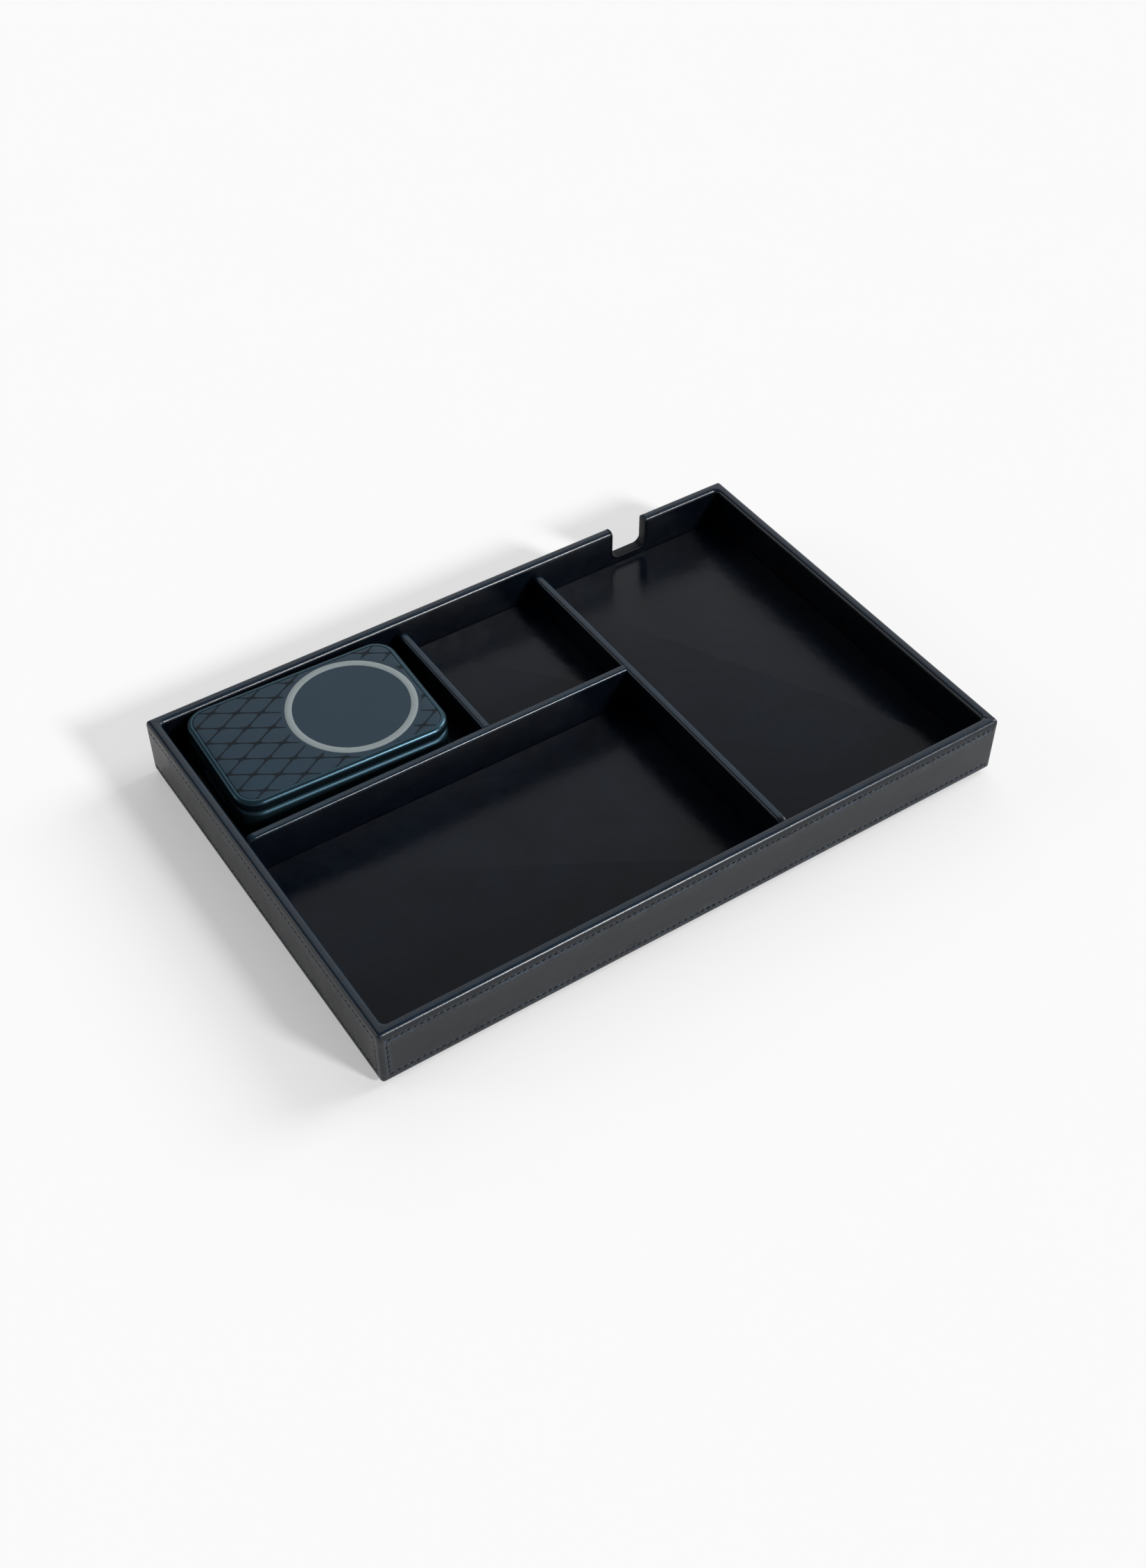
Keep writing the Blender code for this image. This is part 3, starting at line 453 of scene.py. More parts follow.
def sinkStitchRows(piece, half, upright):
    # a groove along each row, a hole at each end of a stitch and a low puff of leather between the holes
    w = wallLooks
    holes = stitchHoles(half)
    last, pitch = holes[-1], holes[1] - holes[0]
    groove, hole, puff = w["grooveDepth"], w["holeDepth"], w["puff"]

    def anywhere(x):
        return True

    def atHole(x):
        steps = (x - holes[0]) / pitch
        return abs(steps - round(steps)) * pitch < 0.05

    def betweenHoles(x):
        return atHole(x + pitch / 2)

    # distance from the row's middle, which places along it, how deep
    moves = ((0.0, anywhere, groove), (0.4, anywhere, groove * w["grooveEdge"]),
             (0.0, atHole, hole), (0.4, atHole, hole * w["holeEdge"]),
             (0.8, betweenHoles, -puff), (0.8, atHole, puff * w["puffDip"]))
    for middle in (w["stitchTop"], w["stitchFoot"]):
        for distance, places, depth in moves:
            pick(piece, "VERT", lambda p: p.y < 0.6 and abs(p.x) < last + 0.05
                 and near(abs(p.z - middle), distance, 0.1) and places(p.x))
            movePicked(0, depth, 0)
    if upright:
        low, high = w["stitchFoot"] + 0.3, w["stitchTop"] - 0.3
        pick(piece, "VERT", lambda p: p.y < 0.05 and near(p.x, upright * last, 0.05) and low < p.z < high)
        movePicked(0, groove, 0)


def markPuckers(piece, half, upright, bandTone):
    # attributes for the leather: one marks a painted highlight on the puckers below the stitch rows and
    # beside the upright row, band is how matt it is above the stitches, and pull is how strongly the seam
    # gathers it; pull also places painted highlight strokes along the seams
    w, k = wallLooks, puckerLooks
    top, foot = w["stitchTop"], w["stitchFoot"]
    holes = stitchHoles(half)
    last, pitch = holes[-1], holes[1] - holes[0]
    shape = bmesh.from_edit_mesh(piece.data)
    mark = shape.verts.layers.float.new("puckerHighlight")
    band = shape.verts.layers.float.new("band")
    pull = shape.verts.layers.float.new("pull")
    for v in shape.verts:
        x, y, z = v.co / mm
        if y > 1.0:
            continue
        fromSeam = min(abs(z - top), abs(z - foot))
        v[pull] = max(0.0, 1 - fromSeam / k["pullReach"])
        if top + k["bandAbove"] < z < k["bandTop"]:
            v[band] = bandTone
        if abs(x) < last + 0.05:
            for middle, share in ((top, k["topShare"]), (foot, k["footShare"])):
                below = middle - z
                if k["from"] < below < k["to"]:
                    step = (x - holes[0]) / pitch + (k["lean"] if below > k["turnAt"] else 0.0)
                    wave = abs(math.cos(math.pi * step)) ** k["sharpness"]
                    v[mark] = max(v[mark], share * (k["least"] + (1 - k["least"]) * wave))
        beside = k["uprightFrom"] < abs(x - upright * last) < k["uprightTo"]
        if upright < 0 and foot < z < top and beside:
            v[mark] = k["uprightShare"]
    bmesh.update_edit_mesh(piece.data)


def bendCorners(piece, half, creases):
    # the face rounds away towards both ends, outside and inside, and the rim dips at the mitres
    w = wallLooks
    wall, outer, inner = tray["wall"], w["outerCorner"], w["innerCorner"]
    shape = bmesh.from_edit_mesh(piece.data)
    for v in shape.verts:
        x, y = abs(v.co.x) / mm, v.co.y / mm
        past = min(max(x - (half - outer), 0), outer)
        share = min(max(1 - y / (wall / 2), 0), 1)
        y += (outer - math.sqrt(outer * outer - past * past)) * share
        past = min(max(x - (half - wall - inner), 0), inner)
        share = min(max((y - wall / 2) / (wall / 2), 0), 1)
        y += (inner - math.sqrt(inner * inner - past * past)) * share
        v.co.y = y * mm
        fromSeam = abs((half - x) - y) / math.sqrt(2)
        if v.co.z / mm > tray["rim"] - w["rimRound"] and fromSeam < w["creaseReach"]:
            crease = cornerCrease[creases[0 if v.co.x < 0 else 1]]
            v.co.z -= crease * mm * (1 - fromSeam / w["creaseReach"]) ** 2
    bmesh.update_edit_mesh(piece.data)


def mitreEnds(half):
    for side in (1, -1):
        normal = Vector((side, 1, 0)).normalized()
        point = Vector((side * half, 0, 0)) - normal * wallLooks["seam"]
        sliceAll(point, normal, cutAway=True)


def oneStitch(name):
    s = stitchLooks
    clearSelection()
    bpy.ops.mesh.primitive_uv_sphere_add(segments=8, ring_count=6, radius=0.5, location=(0, 0, 0),
                                         rotation=(0, math.pi / 2, 0))
    bpy.ops.object.transform_apply(location=True, rotation=True, scale=True)
    thread = nameActive(name)
    edit(thread)
    pick(thread, "VERT", lambda p: True)
    bpy.ops.transform.resize(value=(s["length"] * mm, s["width"] * mm, s["width"] * mm))
    pick(thread, "VERT", lambda p: abs(p.x) > s["length"] * s["endsFrom"])
    movePicked(0, s["endsDip"], 0)
    clearSelection()
    return thread


def stitchPlaces(half, upright, skip):
    # middle of each stitch along the wall, its height, and the way its row runs in degrees
    top, foot = wallLooks["stitchTop"], wallLooks["stitchFoot"]
    holes = stitchHoles(half)
    places = []
    for height in (top, foot):
        for a, b in zip(holes, holes[1:]):
            middle = (a + b) / 2
            if skip and height > notch["floor"] and skip[0] < middle < skip[1]:
                continue
            places.append((middle, height, 0))
    if upright:
        count = round((top - foot) / wallLooks["pitch"])
        rise = (top - foot) / count
        places += [(upright * holes[-1], foot + rise * (k + 0.5), 90) for k in range(count)]
    return places


def wallStitches(name, half, upright, skip):
    thread = oneStitch(name)
    copies = []
    for x, z, row in stitchPlaces(half, upright, skip):
        copy = thread.copy()
        copy.data = thread.data.copy()
        bpy.context.scene.collection.objects.link(copy)
        slant = row + (stitchLooks["slant"] if row == 0 else -stitchLooks["slant"])
        copy.rotation_euler = (0, -math.radians(slant), 0)
        copy.location = (x * mm, stitchLooks["sunk"] * mm, z * mm)
        copies.append(copy)
    bpy.data.objects.remove(thread, do_unlink=True)
    piece = joinPieces(name, copies)
    applyPlace(piece)
    smoothPiece(piece, angle=60)
    return piece


def notchBlock(name, grow):
    x, y = notch["x"], tray["halfWidth"]
    half, low, high = notch["width"] / 2 + grow, notch["floor"] - grow, tray["rim"] + notch["cutAbove"]
    piece = addBlock(name, (x - half, y - tray["wall"] - cutPast, low), (x + half, y + cutPast, high))
    edit(piece)
    pick(piece, "EDGE", lambda a, b: along(a, b, 1) and near(a.z, low))
    roundPicked(notch["corner"] + grow, segments=10)
    clearSelection()
    return piece


def inletBlock(name):
    x, y, z = notch["x"], tray["halfWidth"], inlet["z"]
    w, h = inlet["width"] / 2, inlet["height"] / 2
    piece = addBlock(name, (x - w, y - tray["wall"] - cutPast, z - h), (x + w, y + cutPast, z + h))
    edit(piece)
    pick(piece, "EDGE", lambda a, b: along(a, b, 1))
    roundPicked(h - inlet["flatSide"], segments=8)
    clearSelection()
    return piece


def makeWalls(leather, bindingLeather, thread):
    # side, half its length, its place and turn, the end with an upright row of stitches, its two corners
    length, width = tray["halfLength"], tray["halfWidth"]
    places = (("front", length, (0, -width), 0, -1, ("frontLeft", "frontRight")),
              ("right", width, (length, 0), math.pi / 2, 0, ("frontRight", "backRight")),
              ("back", length, (0, width), math.pi, 0, ("backRight", "backLeft")),
              ("left", width, (-length, 0), -math.pi / 2, 1, ("backLeft", "frontLeft")))
    w = wallLooks
    for side, half, (x, y), turn, upright, creases in places:
        piece = wallSheet("wallCover_" + side, half)
        band = puckerLooks["bandOnLeft" if side == "left" else "bandElsewhere"]
        markPuckers(piece, half, upright, band)
        sinkStitchRows(piece, half, upright)
        bendCorners(piece, half, creases)
        mitreEnds(half)
        clearSelection()
        thicken(piece, w["leather"])
        placePiece(piece, x, y, turn)
        skip = None
        if side == "back":
            cutWith(piece, notchBlock("notchCut", w["leather"] + notch["reveal"]))
            cutWith(piece, inletBlock("inletCut"))
            reach = notch["width"] / 2 + notch["stitchGap"]
            skip = (-notch["x"] - reach, -notch["x"] + reach)
        smoothPiece(piece, angle=50)
        dress(piece, leather, "tray", "wall_leather", "wall_leather_" + side)
        stitches = wallStitches("wallStitches_" + side, half, upright, skip)
        placePiece(stitches, x, y, turn)
        dress(stitches, thread, "tray", "wall_leather")
        goesWith = [stitches, makeNotchBinding(bindingLeather)] if side == "back" else [stitches]
        print("wall", side, len(piece.data.polygons), "faces")


def makeNotchBinding(leather):
    # a strip bent round the notch, trimmed to the wall's section with its rounded rim
    w, proud = wallLooks, notch["proud"]
    x, half, low = notch["x"], notch["width"] / 2 + w["leather"], notch["floor"] - w["leather"]
    inside, outside = tray["halfWidth"] - tray["wall"] - proud, tray["halfWidth"] + proud
    piece = addBlock("notchBinding", (x - half, inside, low), (x + half, outside, tray["rim"]))
    edit(piece)
    pick(piece, "EDGE", lambda a, b: along(a, b, 1) and near(a.z, low))
    roundPicked(notch["corner"] + w["leather"], segments=12)
    pick(piece, "FACE", lambda c, n: abs(n.y) > 0.9 or n.z > 0.9)
    bpy.ops.mesh.delete(type="FACE")
    clearSelection()
    thicken(piece, w["leather"])
    reach = notch["trimReach"]
    profile = addBlock("rimShape", (x - reach, inside, 0), (x + reach, outside, tray["rim"]))
    edit(profile)
    pick(profile, "EDGE", lambda a, b: along(a, b, 0) and near(a.z, tray["rim"]) and near(b.z, tray["rim"]))
    roundPicked(w["rimRound"] + proud, segments=9)
    clearSelection()
    cutWith(piece, profile, "INTERSECT")
    softenEdges(piece, notch["edge"], segments=3, angle=50)
    smoothPiece(piece, angle=50)
    return dress(piece, leather, "tray", "wall_leather", "notch_binding")


# dividers; in a divider's own frame X runs along it from its wall and Y is zero on its middle plane

divider = {
    "top": 21.5, "foot": 4.1, "endRound": 4.2, "edgeRound": 1.15, "leather": 0.8, "unrolled": 36.5,
    "wallGap": 0.06, "cell": 2.5, "footLine": 1.6, "seatDepth": 0.45,
}
# both faces of each divider: from the left for phone and bay, from the front for row
dividerFaces = {"phone": (32.9, 36.3), "row": (14.1, 17.5), "bay": (-26.5, -23.1)}
innerX, innerY = tray["halfLength"] - tray["wall"], tray["halfWidth"] - tray["wall"]
phoneLeft, phoneRight = dividerFaces["phone"]
rowFront, rowBack = dividerFaces["row"]
bayLeft, bayRight = dividerFaces["bay"]


def makeDivider(name, start, end, bothWalls, turn, leather):
    d = divider
    low, high = dividerFaces[name]
    half, middle = (high - low) / 2, (high + low) / 2
    run = end - start
    piece = addBlock("dividerCover_" + name, (0, -half, d["foot"]), (run, half, d["top"]))
    edit(piece)
    pick(piece, "FACE", lambda c, n: n.z < -0.9)
    bpy.ops.mesh.delete(type="FACE")
    ends = (0, run) if bothWalls else (0,)
    pick(piece, "EDGE", lambda a, b: along(a, b, 1) and near(a.z, d["top"])
         and any(near(a.x, e) for e in ends))
    roundPicked(d["endRound"], segments=10)

    def onSide(p):
        return near(abs(p.y), half)

    def atFoot(p):
        return near(p.z, d["foot"])

    def beforeFreeEnd(p):
        return bothWalls or p.x < run - 0.02

    pick(piece, "EDGE", lambda a, b: onSide(a) and onSide(b) and a.y * b.y > 0
         and not (atFoot(a) and atFoot(b)) and (beforeFreeEnd(a) or beforeFreeEnd(b)))
    roundPicked(d["edgeRound"], segments=6)
    pick(piece, "EDGE", lambda a, b: along(a, b, 0) and (b - a).length > 20)
    bpy.ops.mesh.subdivide(number_cuts=int(run / d["cell"]))
    pick(piece, "FACE", lambda c, n: abs(n.y) > 0.9)
    slicePicked((0, 0, d["foot"] + d["footLine"]), (0, 0, 1))
    if not bothWalls:
        seatAgainstDivider(piece, run)
    clearSelection()
    thicken(piece, d["leather"])
    x, y = (start, middle) if turn == 0 else (middle, math.sin(turn) * start)
    placePiece(piece, x, y, turn)
    smoothPiece(piece, angle=50)
    dress(piece, leather, "tray", "divider_leather", "divider_leather_" + name)


def seatAgainstDivider(piece, run):
    # the free end follows the round of the divider that it meets
    d = divider
    r = d["edgeRound"]
    for degrees in range(15, 90, 15):
        height = d["top"] - r + r * math.sin(math.radians(degrees))
        pick(piece, "FACE", lambda c, n: n.x > 0.9)
        slicePicked((0, 0, height), (0, 0, 1))
    shape = bmesh.from_edit_mesh(piece.data)
    for v in shape.verts:
        if v.co.x / mm > run - 0.02:
            up = min(max(v.co.z / mm - (d["top"] - r), 0), r)
            v.co.x += min(r - math.sqrt(max(r * r - up * up, 0)), d["seatDepth"] * r) * mm
    bmesh.update_edit_mesh(piece.data)


def makeDividers(leather):
    gap = divider["wallGap"]
    makeDivider("phone", gap - innerY, innerY - gap, True, math.pi / 2, leather)
    makeDivider("row", gap - innerX, phoneLeft - gap, False, 0, leather)
    makeDivider("bay", gap - innerY, -rowBack - gap, False, -math.pi / 2, leather)
    print("dividers ready")


# floors of the four bays

floorLooks = {"gap": 0.12, "edgeRound": 0.4, "cornerRound": 1.6, "front": (4.15, 5.1), "raised": (8.5, 9.4)}
bays = {"front": ((-innerX, -innerY), (phoneLeft, rowFront), floorLooks["front"]),
        "left": ((-innerX, rowBack), (bayLeft, innerY), floorLooks["raised"]),
        "middle": ((bayRight, rowBack), (phoneLeft, innerY), floorLooks["raised"]),
        "phone": ((phoneRight, -innerY), (innerX, innerY), floorLooks["raised"])}


def makeFloors(leather):
    gap = floorLooks["gap"]
    for name, ((x0, y0), (x1, y1), (low, high)) in bays.items():
        piece = addBlock("floorLeather_" + name, (x0 + gap, y0 + gap, low), (x1 - gap, y1 - gap, high))
        edit(piece)
        pick(piece, "EDGE", lambda a, b: along(a, b, 2))
        roundPicked(floorLooks["cornerRound"], segments=6)
        pick(piece, "EDGE", lambda a, b: near(a.z, high) and near(b.z, high))
        roundPicked(floorLooks["edgeRound"], segments=4)
        clearSelection()
        smoothPiece(piece, angle=50)
        dress(piece, leather, "tray", "floor_leather", "floor_leather_" + name)
    print("floors ready")


# charging module, built about its own middle and then turned into its place

module = {
    "length": 81.4, "width": 53.6, "corner": 8.5, "x": -74.3026, "y": 49.9977, "turn": math.radians(-2.2),
    "low": 9.7, "lowerTop": 19.6, "upperLow": 20.1, "top": 24.6,
    "topRound": 1.7, "lowRound": 1.1, "footRound": 2.2, "shellWall": 1.6, "shellFloor": 1.4,
    "border": 2.1, "seam": 0.22, "panel": 1.4, "panelEdge": 0.16, "ledge": 1.6, "coilRoom": 1.9,
    "gap": 0.3, "lip": 1.2, "lipHeight": 2.5,
    "ringX": 13.6, "ringOuter": 47.2, "ringBand": 2.6, "ringThick": 0.5, "ringSeam": 0.06,
    "ringEdge": 0.06, "ringProud": 0.01, "ringBed": 0.2,
    "portWidth": 17.6, "portHeight": 5.0, "portRound": 1.2, "portDepth": 1.0, "portZ": 14.28,
    "socketRound": 1.6, "socketPast": 0.4, "cutPast": 5.0, "ringCutPast": 2.0,
}


def roundedBlock(name, inset, low, high):
    m = module
    x, y = m["length"] / 2 - inset, m["width"] / 2 - inset
    piece = addBlock(name, (-x, -y, low), (x, y, high))
    edit(piece)
    pick(piece, "EDGE", lambda a, b: along(a, b, 2))
    roundPicked(m["corner"] - inset, segments=16)
    clearSelection()
    return piece


def roundRim(piece, height, radius, segments):
    edit(piece)
    pick(piece, "EDGE", lambda a, b: near(a.z, height) and near(b.z, height))
    roundPicked(radius, segments)
    clearSelection()


def finishModulePiece(piece, material, slot, node, angle):
    placePiece(piece, module["x"], module["y"], module["turn"])
    smoothPiece(piece, angle)
    dress(piece, material, "charging_module", slot, node)


def makeLowerShell(metal):
    m = module
    shell = roundedBlock("moduleLowerShell", 0, m["low"], m["lowerTop"])
    roundRim(shell, m["lowerTop"], m["topRound"], segments=8)
    roundRim(shell, m["low"], m["footRound"], segments=8)
    past = m["cutPast"]
    cutWith(shell, roundedBlock("room", m["shellWall"], m["low"] + m["shellFloor"], m["lowerTop"] + past))
    left, z = -m["length"] / 2, m["portZ"]
    # a wide shallow recess, and the opening of the socket through the wall behind it
    recess = (m["portWidth"], m["portHeight"], m["portRound"], m["portDepth"])
    opening = (inlet["width"], inlet["height"], m["socketRound"], m["shellWall"] + m["socketPast"])
    for width, height, radius, depth in (recess, opening):
        low, high = (left - past, -width / 2, z - height / 2), (left + depth, width / 2, z + height / 2)
        cut = addBlock("portCut", low, high)
        edit(cut)
        pick(cut, "EDGE", lambda a, b: along(a, b, 0))
        roundPicked(radius, segments=8)
        clearSelection()
        cutWith(shell, cut)
    weldPiece(shell)
    finishModulePiece(shell, metal, "module_shell", "module_lower_shell", angle=35)


def makeUpperFrame(metal):
    # a seat for the face panel with room below it for the coil, and a lip that drops into the lower shell
    m = module
    piece = roundedBlock("moduleUpperFrame", 0, m["upperLow"], m["top"])
    roundRim(piece, m["top"], m["topRound"], segments=10)
    roundRim(piece, m["upperLow"], m["lowRound"], segments=6)
    edit(piece)
    pick(piece, "FACE", lambda c, n: n.z > 0.999 and near(c.z, m["top"]))
    insetPicked(m["border"] - m["topRound"])
    extrudePicked(0, 0, -(m["panel"] + m["gap"]))
    insetPicked(m["ledge"])
    extrudePicked(0, 0, -m["coilRoom"])
    pick(piece, "FACE", lambda c, n: n.z < -0.999 and near(c.z, m["upperLow"]))
    insetPicked(m["shellWall"] + m["gap"] - m["lowRound"])
    extrudePicked(0, 0, -m["lipHeight"])
    insetPicked(m["lip"])
    extrudePicked(0, 0, m["lipHeight"])
    clearSelection()
    finishModulePiece(piece, metal, "module_shell", "module_upper_frame", angle=35)


def addRing(name, outer, inner, low, high):
    x = module["ringX"]
    clearSelection()
    bpy.ops.mesh.primitive_cylinder_add(vertices=160, radius=outer / 2 * mm, depth=(high - low) * mm,
                                        location=(x * mm, 0, (low + high) / 2 * mm))
    bpy.ops.object.transform_apply(location=True, rotation=True, scale=True)
    ring = nameActive(name)
    edit(ring)
    pick(ring, "FACE", lambda c, n: abs(n.z) > 0.9)
    insetPicked((outer - inner) / 2)
    bpy.ops.mesh.delete(type="FACE")

    def onInside(p):
        return math.hypot(p.x - x, p.y) < inner / 2 + 0.01

    pick(ring, "EDGE", lambda a, b: onInside(a) and onInside(b))
    bpy.ops.mesh.bridge_edge_loops()
    bpy.ops.mesh.select_all(action="SELECT")
    bpy.ops.mesh.normals_make_consistent(inside=False)
    clearSelection()
    return ring


def makeFace(face, pale):
    m = module
    outer, inner, seam = m["ringOuter"], m["ringOuter"] - 2 * m["ringBand"], m["ringSeam"]
    top, ringLow = m["top"], m["top"] - m["ringThick"]
    panel = roundedBlock("moduleFacePanel", m["border"] + m["seam"], top - m["panel"], top)
    roundRim(panel, top, m["panelEdge"], segments=3)
    grooveLow, grooveHigh = ringLow - m["ringBed"], top + m["ringCutPast"]
    cutWith(panel, addRing("ringGroove", outer + 2 * seam, inner - 2 * seam, grooveLow, grooveHigh))
    finishModulePiece(panel, face, "module_face", "module_face_panel", angle=30)
    ring = addRing("moduleRing", outer, inner, ringLow, top + m["ringProud"])
    softenEdges(ring, m["ringEdge"], segments=2, angle=60)
    finishModulePiece(ring, pale, "module_ring", "module_ring", angle=30)


def moduleCoords(r, shift=0.0):
    # a place on the module, measured from its middle or from the middle of its ring
    turn = module["turn"]
    c, s = math.cos(turn), math.sin(turn)
    x = module["x"] + c * shift
    y = module["y"] + s * shift
    back = (-(c * x + s * y) * mm, -(-s * x + c * y) * mm, 0)
    return r.mapped((1, 1, 1), (0, 0, -turn), back)


def metalMaterial(name, glossLow, glossHigh, blastDepth):
    r = Recipe(name)
    place = moduleCoords(r)
    blast = r.noise(0.16, 3, 0.7, place)
    cloud = r.noise(18, 3, 0.5, place)
    colour = r.mix(cloud, (0.024, 0.054, 0.076), (0.036, 0.074, 0.098))
    rough = r.span(r.blend(blast, 0.6, cloud, 0.4), 0.3, 0.7, glossLow, glossHigh)
    return r.finish(colour, rough, r.bump(blast, blastDepth, 0.8), Metallic=0.9)


faceLooks = {
    "pitch": 7.6, "lean": 60, "flare": 0.036, "lineFrom": 0.52, "lineTo": 0.58,
    "bareTo": 24.2, "linesFrom": 25.4,  # no lines nearer than this to the ring's middle
    "line": (0.004, 0.008, 0.012), "lineTone": 0.95, "lineMatt": 0.36,
    "base": ((0.012, 0.031, 0.050), (0.017, 0.038, 0.059)),
}


def faceLines(r, place):
    # two sets of crossing lines that widen where they meet, kept off the ring and what it encloses
    looks = faceLooks
    nearness = []
    for degrees in (looks["lean"], -looks["lean"]):
        across = r.axis("X", r.mapped((1, 1, 1), (0, 0, math.radians(degrees)), source=place))
        share = r.math("FRACT", r.math("DIVIDE", across, looks["pitch"] * mm))
        away = r.math("ABSOLUTE", r.math("SUBTRACT", share, 0.5))
        nearness.append(r.math("DIVIDE", 1.0, r.math("MULTIPLY_ADD", away, 1 / looks["flare"], 1.0)))
    lines = r.span(r.math("ADD", *nearness), looks["lineFrom"], looks["lineTo"], smooth=True)
    fromRing = moduleCoords(r, module["ringX"])
    flat = r.add("ShaderNodeCombineXYZ")
    r.plug(flat.inputs[0], r.axis("X", fromRing))
    r.plug(flat.inputs[1], r.axis("Y", fromRing))
    distance = r.add("ShaderNodeVectorMath", operation="LENGTH")
    r.plug(distance.inputs[0], flat.outputs[0])
    outside = r.span(distance.outputs["Value"], looks["bareTo"] * mm, looks["linesFrom"] * mm, smooth=True)
    return r.math("MULTIPLY", lines, outside)


def faceMaterial():
    looks = faceLooks
    r = Recipe("petrolFace")
    place = moduleCoords(r)
    lines = faceLines(r, place)
    base = r.mix(r.noise(14, 3, 0.5, place), *looks["base"])
    colour = r.mix(r.math("MULTIPLY", lines, looks["lineTone"]), base, looks["line"])
    fine = r.noise(0.12, 3, 0.7, place)
    rough = r.math("MULTIPLY_ADD", lines, looks["lineMatt"], r.span(fine, 0.3, 0.7, 0.38, 0.48))
    return r.finish(colour, rough, r.bump(fine, 0.005, 0.8), Specular_IOR_Level=0.24)


def ringMaterial():
    r = Recipe("paleRing")
    place = moduleCoords(r)
    fine = r.noise(0.15, 3, 0.7, place)
    colour = r.mix(r.noise(9, 3, 0.5, place), (0.215, 0.255, 0.265), (0.250, 0.290, 0.300))
    return r.finish(colour, r.span(fine, 0.3, 0.7, 0.42, 0.54), r.bump(fine, 0.004, 0.8), Metallic=0.1)


# finishes of the pieces that stay as they are

def boardMaterial():
    r = Recipe("greyBoard")
    fibre = r.noise(0.9, 4, 0.7, r.mapped((1, 0.25, 1)))
    colour = r.mix(fibre, (0.045, 0.042, 0.038), (0.080, 0.075, 0.069))
    colour = r.mix(r.span(r.cells(0.8), 0.15, 0.05), colour, (0.022, 0.021, 0.020))
    return r.finish(colour, r.span(fibre, 0.3, 0.7, 0.8, 0.95), r.bump(fibre, 0.08, 0.9))


def undersideMaterial():
    r = Recipe("blackUnderside")
    nap = r.noise(0.35, 4, 0.75)
    patch = r.noise(22, 3, 0.5)
    colour = r.mix(r.blend(nap, 0.6, patch, 0.4), (0.004, 0.004, 0.005), (0.014, 0.014, 0.016))
    return r.finish(colour, r.span(patch, 0.3, 0.7, 0.78, 0.92), r.bump(nap, 0.10, 1.0),
                    Sheen_Weight=0.25, Sheen_Roughness=0.5)


def plasticMaterial():
    r = Recipe("blackPlastic")
    fine = r.cells(0.35, "SMOOTH_F1")
    colour = r.mix(r.noise(8), (0.010, 0.010, 0.011), (0.018, 0.018, 0.019))
    return r.finish(colour, r.span(fine, 0.2, 0.7, 0.42, 0.58), r.bump(fine, 0.02, 0.8))


def circuitMaterial():
    r = Recipe("circuitGreen")
    tracks = r.math("MAXIMUM", r.span(r.bands(1.6, "X"), 0.75, 0.85), r.span(r.bands(2.1, "Y"), 0.82, 0.90))
    tracks = r.math("MULTIPLY", tracks, r.span(r.noise(5), 0.45, 0.55))
    colour = r.mix(tracks, (0.010, 0.055, 0.028), (0.030, 0.120, 0.055))
    return r.finish(colour, r.span(r.noise(1.0), 0.3, 0.7, 0.32, 0.5), r.bump(tracks, 0.03, 0.8))


def ferriteMaterial():
    r = Recipe("darkFerrite")
    grit = r.noise(0.3, 4, 0.7)
    colour = r.mix(grit, (0.025, 0.025, 0.028), (0.060, 0.060, 0.064))
    return r.finish(colour, r.span(grit, 0.3, 0.7, 0.55, 0.75), r.bump(grit, 0.02, 0.9))


def coilMaterial(name, x, y, pitch):
    r = Recipe(name)
    turns = r.rings(pitch, r.mapped(shift=(-x * mm, -y * mm, 0)))
    colour = r.mix(turns, (0.28, 0.09, 0.035), (0.72, 0.32, 0.15))
    return r.finish(colour, r.span(turns, 0.0, 1.0, 0.45, 0.28), r.bump(turns, 0.15, 1.0), Metallic=1.0)


def steelMaterial(name, colourLow, colourHigh, glossLow, glossHigh):
    r = Recipe(name)
    brushed = r.noise(0.25, 3, 0.6, r.mapped((1, 0.1, 1)))
    colour = r.mix(brushed, colourLow, colourHigh)
    rough = r.span(brushed, 0.3, 0.7, glossLow, glossHigh)
    return r.finish(colour, rough, r.bump(brushed, 0.006, 0.8), Metallic=1.0)


def foilMaterial():
    r = Recipe("cellFoil")
    crease = r.noise(3.5, 4, 0.6)
    colour = r.mix(crease, (0.36, 0.37, 0.39), (0.52, 0.53, 0.55))
    return r.finish(colour, r.span(crease, 0.3, 0.7, 0.3, 0.48), r.bump(crease, 0.12, 0.8), Metallic=0.8)


coilLooks = {"padY": -2.3, "padPitch": 0.9, "modulePitch": 0.7}


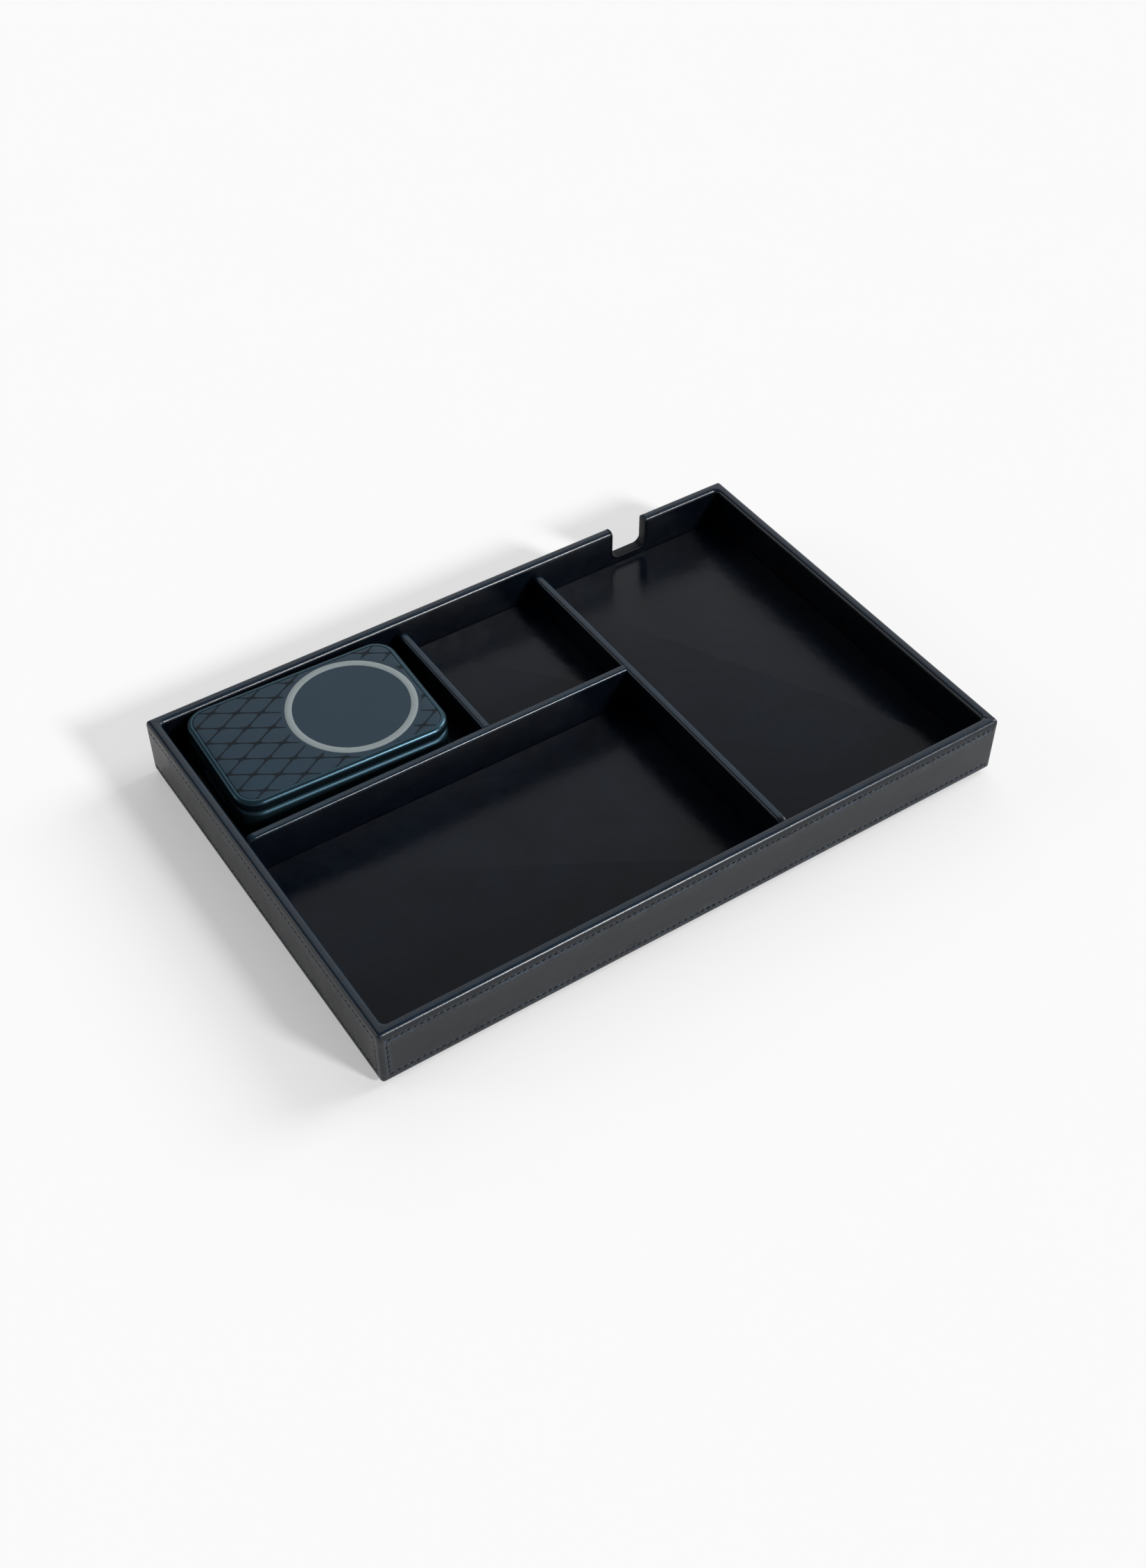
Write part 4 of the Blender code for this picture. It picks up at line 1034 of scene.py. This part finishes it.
def finishNodes():
    board, plastic = boardMaterial(), plasticMaterial()
    circuit, ferrite = circuitMaterial(), ferriteMaterial()
    nickel = steelMaterial("nickelSocket", (0.48, 0.47, 0.45), (0.62, 0.61, 0.59), 0.22, 0.34)
    magnet = steelMaterial("plainMagnet", (0.40, 0.40, 0.41), (0.52, 0.52, 0.53), 0.30, 0.42)
    ringX = module["x"] + math.cos(module["turn"]) * module["ringX"]
    ringY = module["y"] + math.sin(module["turn"]) * module["ringX"]
    padCoil = coilMaterial("padCoil", notch["x"], coilLooks["padY"], coilLooks["padPitch"])
    chosen = {"base_board": board, "underside_panel": undersideMaterial(), "transmitter_case": plastic,
              "transmitter_lid": plastic, "transmitter_board": circuit, "module_board": circuit,
              "transmitter_ferrite": ferrite, "module_ferrite": ferrite, "transmitter_socket": nickel,
              "module_socket": nickel, "module_magnet_ring": magnet, "module_battery": foilMaterial(),
              "transmitter_coil": padCoil,
              "module_coil": coilMaterial("moduleCoil", ringX, ringY, coilLooks["modulePitch"])}
    for name, node in nodes.items():
        material = chosen.get(name) or (board if "board" in name or "spacer" in name else None)
        if material:
            node.data.materials.clear()
            node.data.materials.append(material)
    print("kept nodes finished")


# stage, light and camera

stage = {"floorColour": 0.97, "floorHalf": 4.0, "floorDrop": 0.00005, "glow": 0.38, "glowInGloss": 0.16,
         "world": 0.16, "backdrop": 0.96, "backdropFade": (0.17, 0.22)}
lamps = {"frontLamp": {"strength": 2.35, "angle": 10, "comesFrom": (0.37, -0.79, 0.49)},
         "sideLamp": {"strength": 1.65, "angle": 28, "comesFrom": (0.85, -0.04, 0.53)},
         "leftLamp": {"strength": 0.22, "angle": 20, "comesFrom": (-0.72, 0.55, 0.42)},
         "backLamp": {"strength": 0.60, "angle": 56, "comesFrom": (0.46, 0.60, 0.65)}}
view = {"azimuth": -33.602, "elevation": 45.928, "roll": 0.074, "place": (-268.8, -405.1, 494.9),
        "focalPixels": 2781.5, "framePixels": 2261, "sensor": 36}


def makeFloor():
    # the glow is only for what is seen, so the floor throws no extra light on the tray
    clearSelection()
    bpy.ops.mesh.primitive_plane_add(size=2 * stage["floorHalf"], location=(0, 0, -stage["floorDrop"]))
    floor = nameActive("studioFloor")
    r = Recipe("paleFloor")
    tone = stage["floorColour"]
    speckle = r.mix(r.noise(60, 3), (tone * 0.995,) * 3, (tone * 1.005,) * 3)
    r.tree.nodes.remove(r.shader)
    diffuse = r.add("ShaderNodeBsdfDiffuse")
    r.plug(diffuse.inputs["Color"], speckle)
    glow = r.add("ShaderNodeEmission")
    glow.inputs["Color"].default_value = (1, 1, 1, 1)
    rays = r.add("ShaderNodeLightPath").outputs
    seenInGloss = r.math("MAXIMUM", rays["Is Glossy Ray"], rays["Is Transmission Ray"])
    glowShare = r.blend(rays["Is Camera Ray"], stage["glow"], seenInGloss, stage["glowInGloss"])
    both = r.add("ShaderNodeMixShader")
    r.plug(both.inputs[0], glowShare)
    r.plug(both.inputs[1], diffuse.outputs[0])
    r.plug(both.inputs[2], glow.outputs[0])
    r.plug(r.tree.nodes["Material Output"].inputs["Surface"], both.outputs[0])
    floor.data.materials.append(r.material)


def makeWorld():
    # a pale backdrop low all round for what is seen, and a dim room above it
    world = bpy.data.worlds.new("studioWorld")
    world.use_nodes = True
    bpy.context.scene.world = world
    w = Wiring(world.node_tree, "Generated")
    background = w.tree.nodes["Background"]
    background.inputs["Color"].default_value = (1, 1, 1, 1)
    low = w.span(w.axis("Z"), *stage["backdropFade"], stage["backdrop"] - stage["world"], 0.0)
    rays = w.add("ShaderNodeLightPath").outputs
    seenInGloss = w.math("MAXIMUM", rays["Is Glossy Ray"], rays["Is Transmission Ray"])
    seen = w.math("MAXIMUM", rays["Is Camera Ray"], seenInGloss)
    w.plug(background.inputs["Strength"], w.math("MULTIPLY_ADD", low, seen, stage["world"]))


def makeLamps():
    for name, looks in lamps.items():
        clearSelection()
        bpy.ops.object.light_add(type="SUN", location=(0, 0, 1))
        lamp = bpy.context.object
        lamp.name = name
        lamp.data.energy = looks["strength"]
        lamp.data.angle = math.radians(looks["angle"])
        lamp.rotation_euler = Vector(looks["comesFrom"]).to_track_quat("Z", "Y").to_euler()


def makeCamera():
    clearSelection()
    bpy.ops.object.camera_add()
    camera = bpy.context.object
    camera.data.lens = view["focalPixels"] * view["sensor"] / view["framePixels"]
    camera.data.clip_start = 0.01
    camera.location = [p * mm for p in view["place"]]
    turn = (Matrix.Rotation(math.radians(view["azimuth"]), 3, "Z")
            @ Matrix.Rotation(math.radians(90 - view["elevation"]), 3, "X")
            @ Matrix.Rotation(math.radians(view["roll"]), 3, "Z"))
    camera.rotation_euler = turn.to_euler()
    bpy.context.scene.camera = camera


def main():
    rim, dividerTop = tray["rim"], divider["top"]
    # leathers given a top height get the painted top light there; the dividers get a bluer one
    wallLeather = leatherMaterial("wallLeather", 0.27, 0.37, topLightHeight=rim, specular=0.40, sewn=True)
    dividerLeather = leatherMaterial("dividerLeather", 0.27, 0.35, topLightHeight=dividerTop, specular=0.38,
                                     paintedTopLight=(0.0020, 0.0150, 0.0310))
    floorLeather = leatherMaterial("floorLeather", 0.17, 0.25, waveDepth=0.22, specular=0.13, lift=1.4,
                                   grainShare=0.6)
    bindingLeather = leatherMaterial("bindingLeather", 0.40, 0.52, topLightHeight=rim, specular=0.18)
    print("leathers ready")
    makeWalls(wallLeather, bindingLeather, threadMaterial())
    makeDividers(dividerLeather)
    makeFloors(floorLeather)
    makeLowerShell(metalMaterial("petrolMetalMatt", 0.38, 0.50, blastDepth=0.010))
    makeUpperFrame(metalMaterial("petrolMetal", 0.25, 0.34, blastDepth=0.005))
    makeFace(faceMaterial(), ringMaterial())
    print("charging module ready")
    finishNodes()
    makeFloor()
    makeWorld()
    makeLamps()
    makeCamera()
    bpy.context.scene.view_settings.view_transform = "Standard"
    clearSelection()
    print("scene ready")


main()
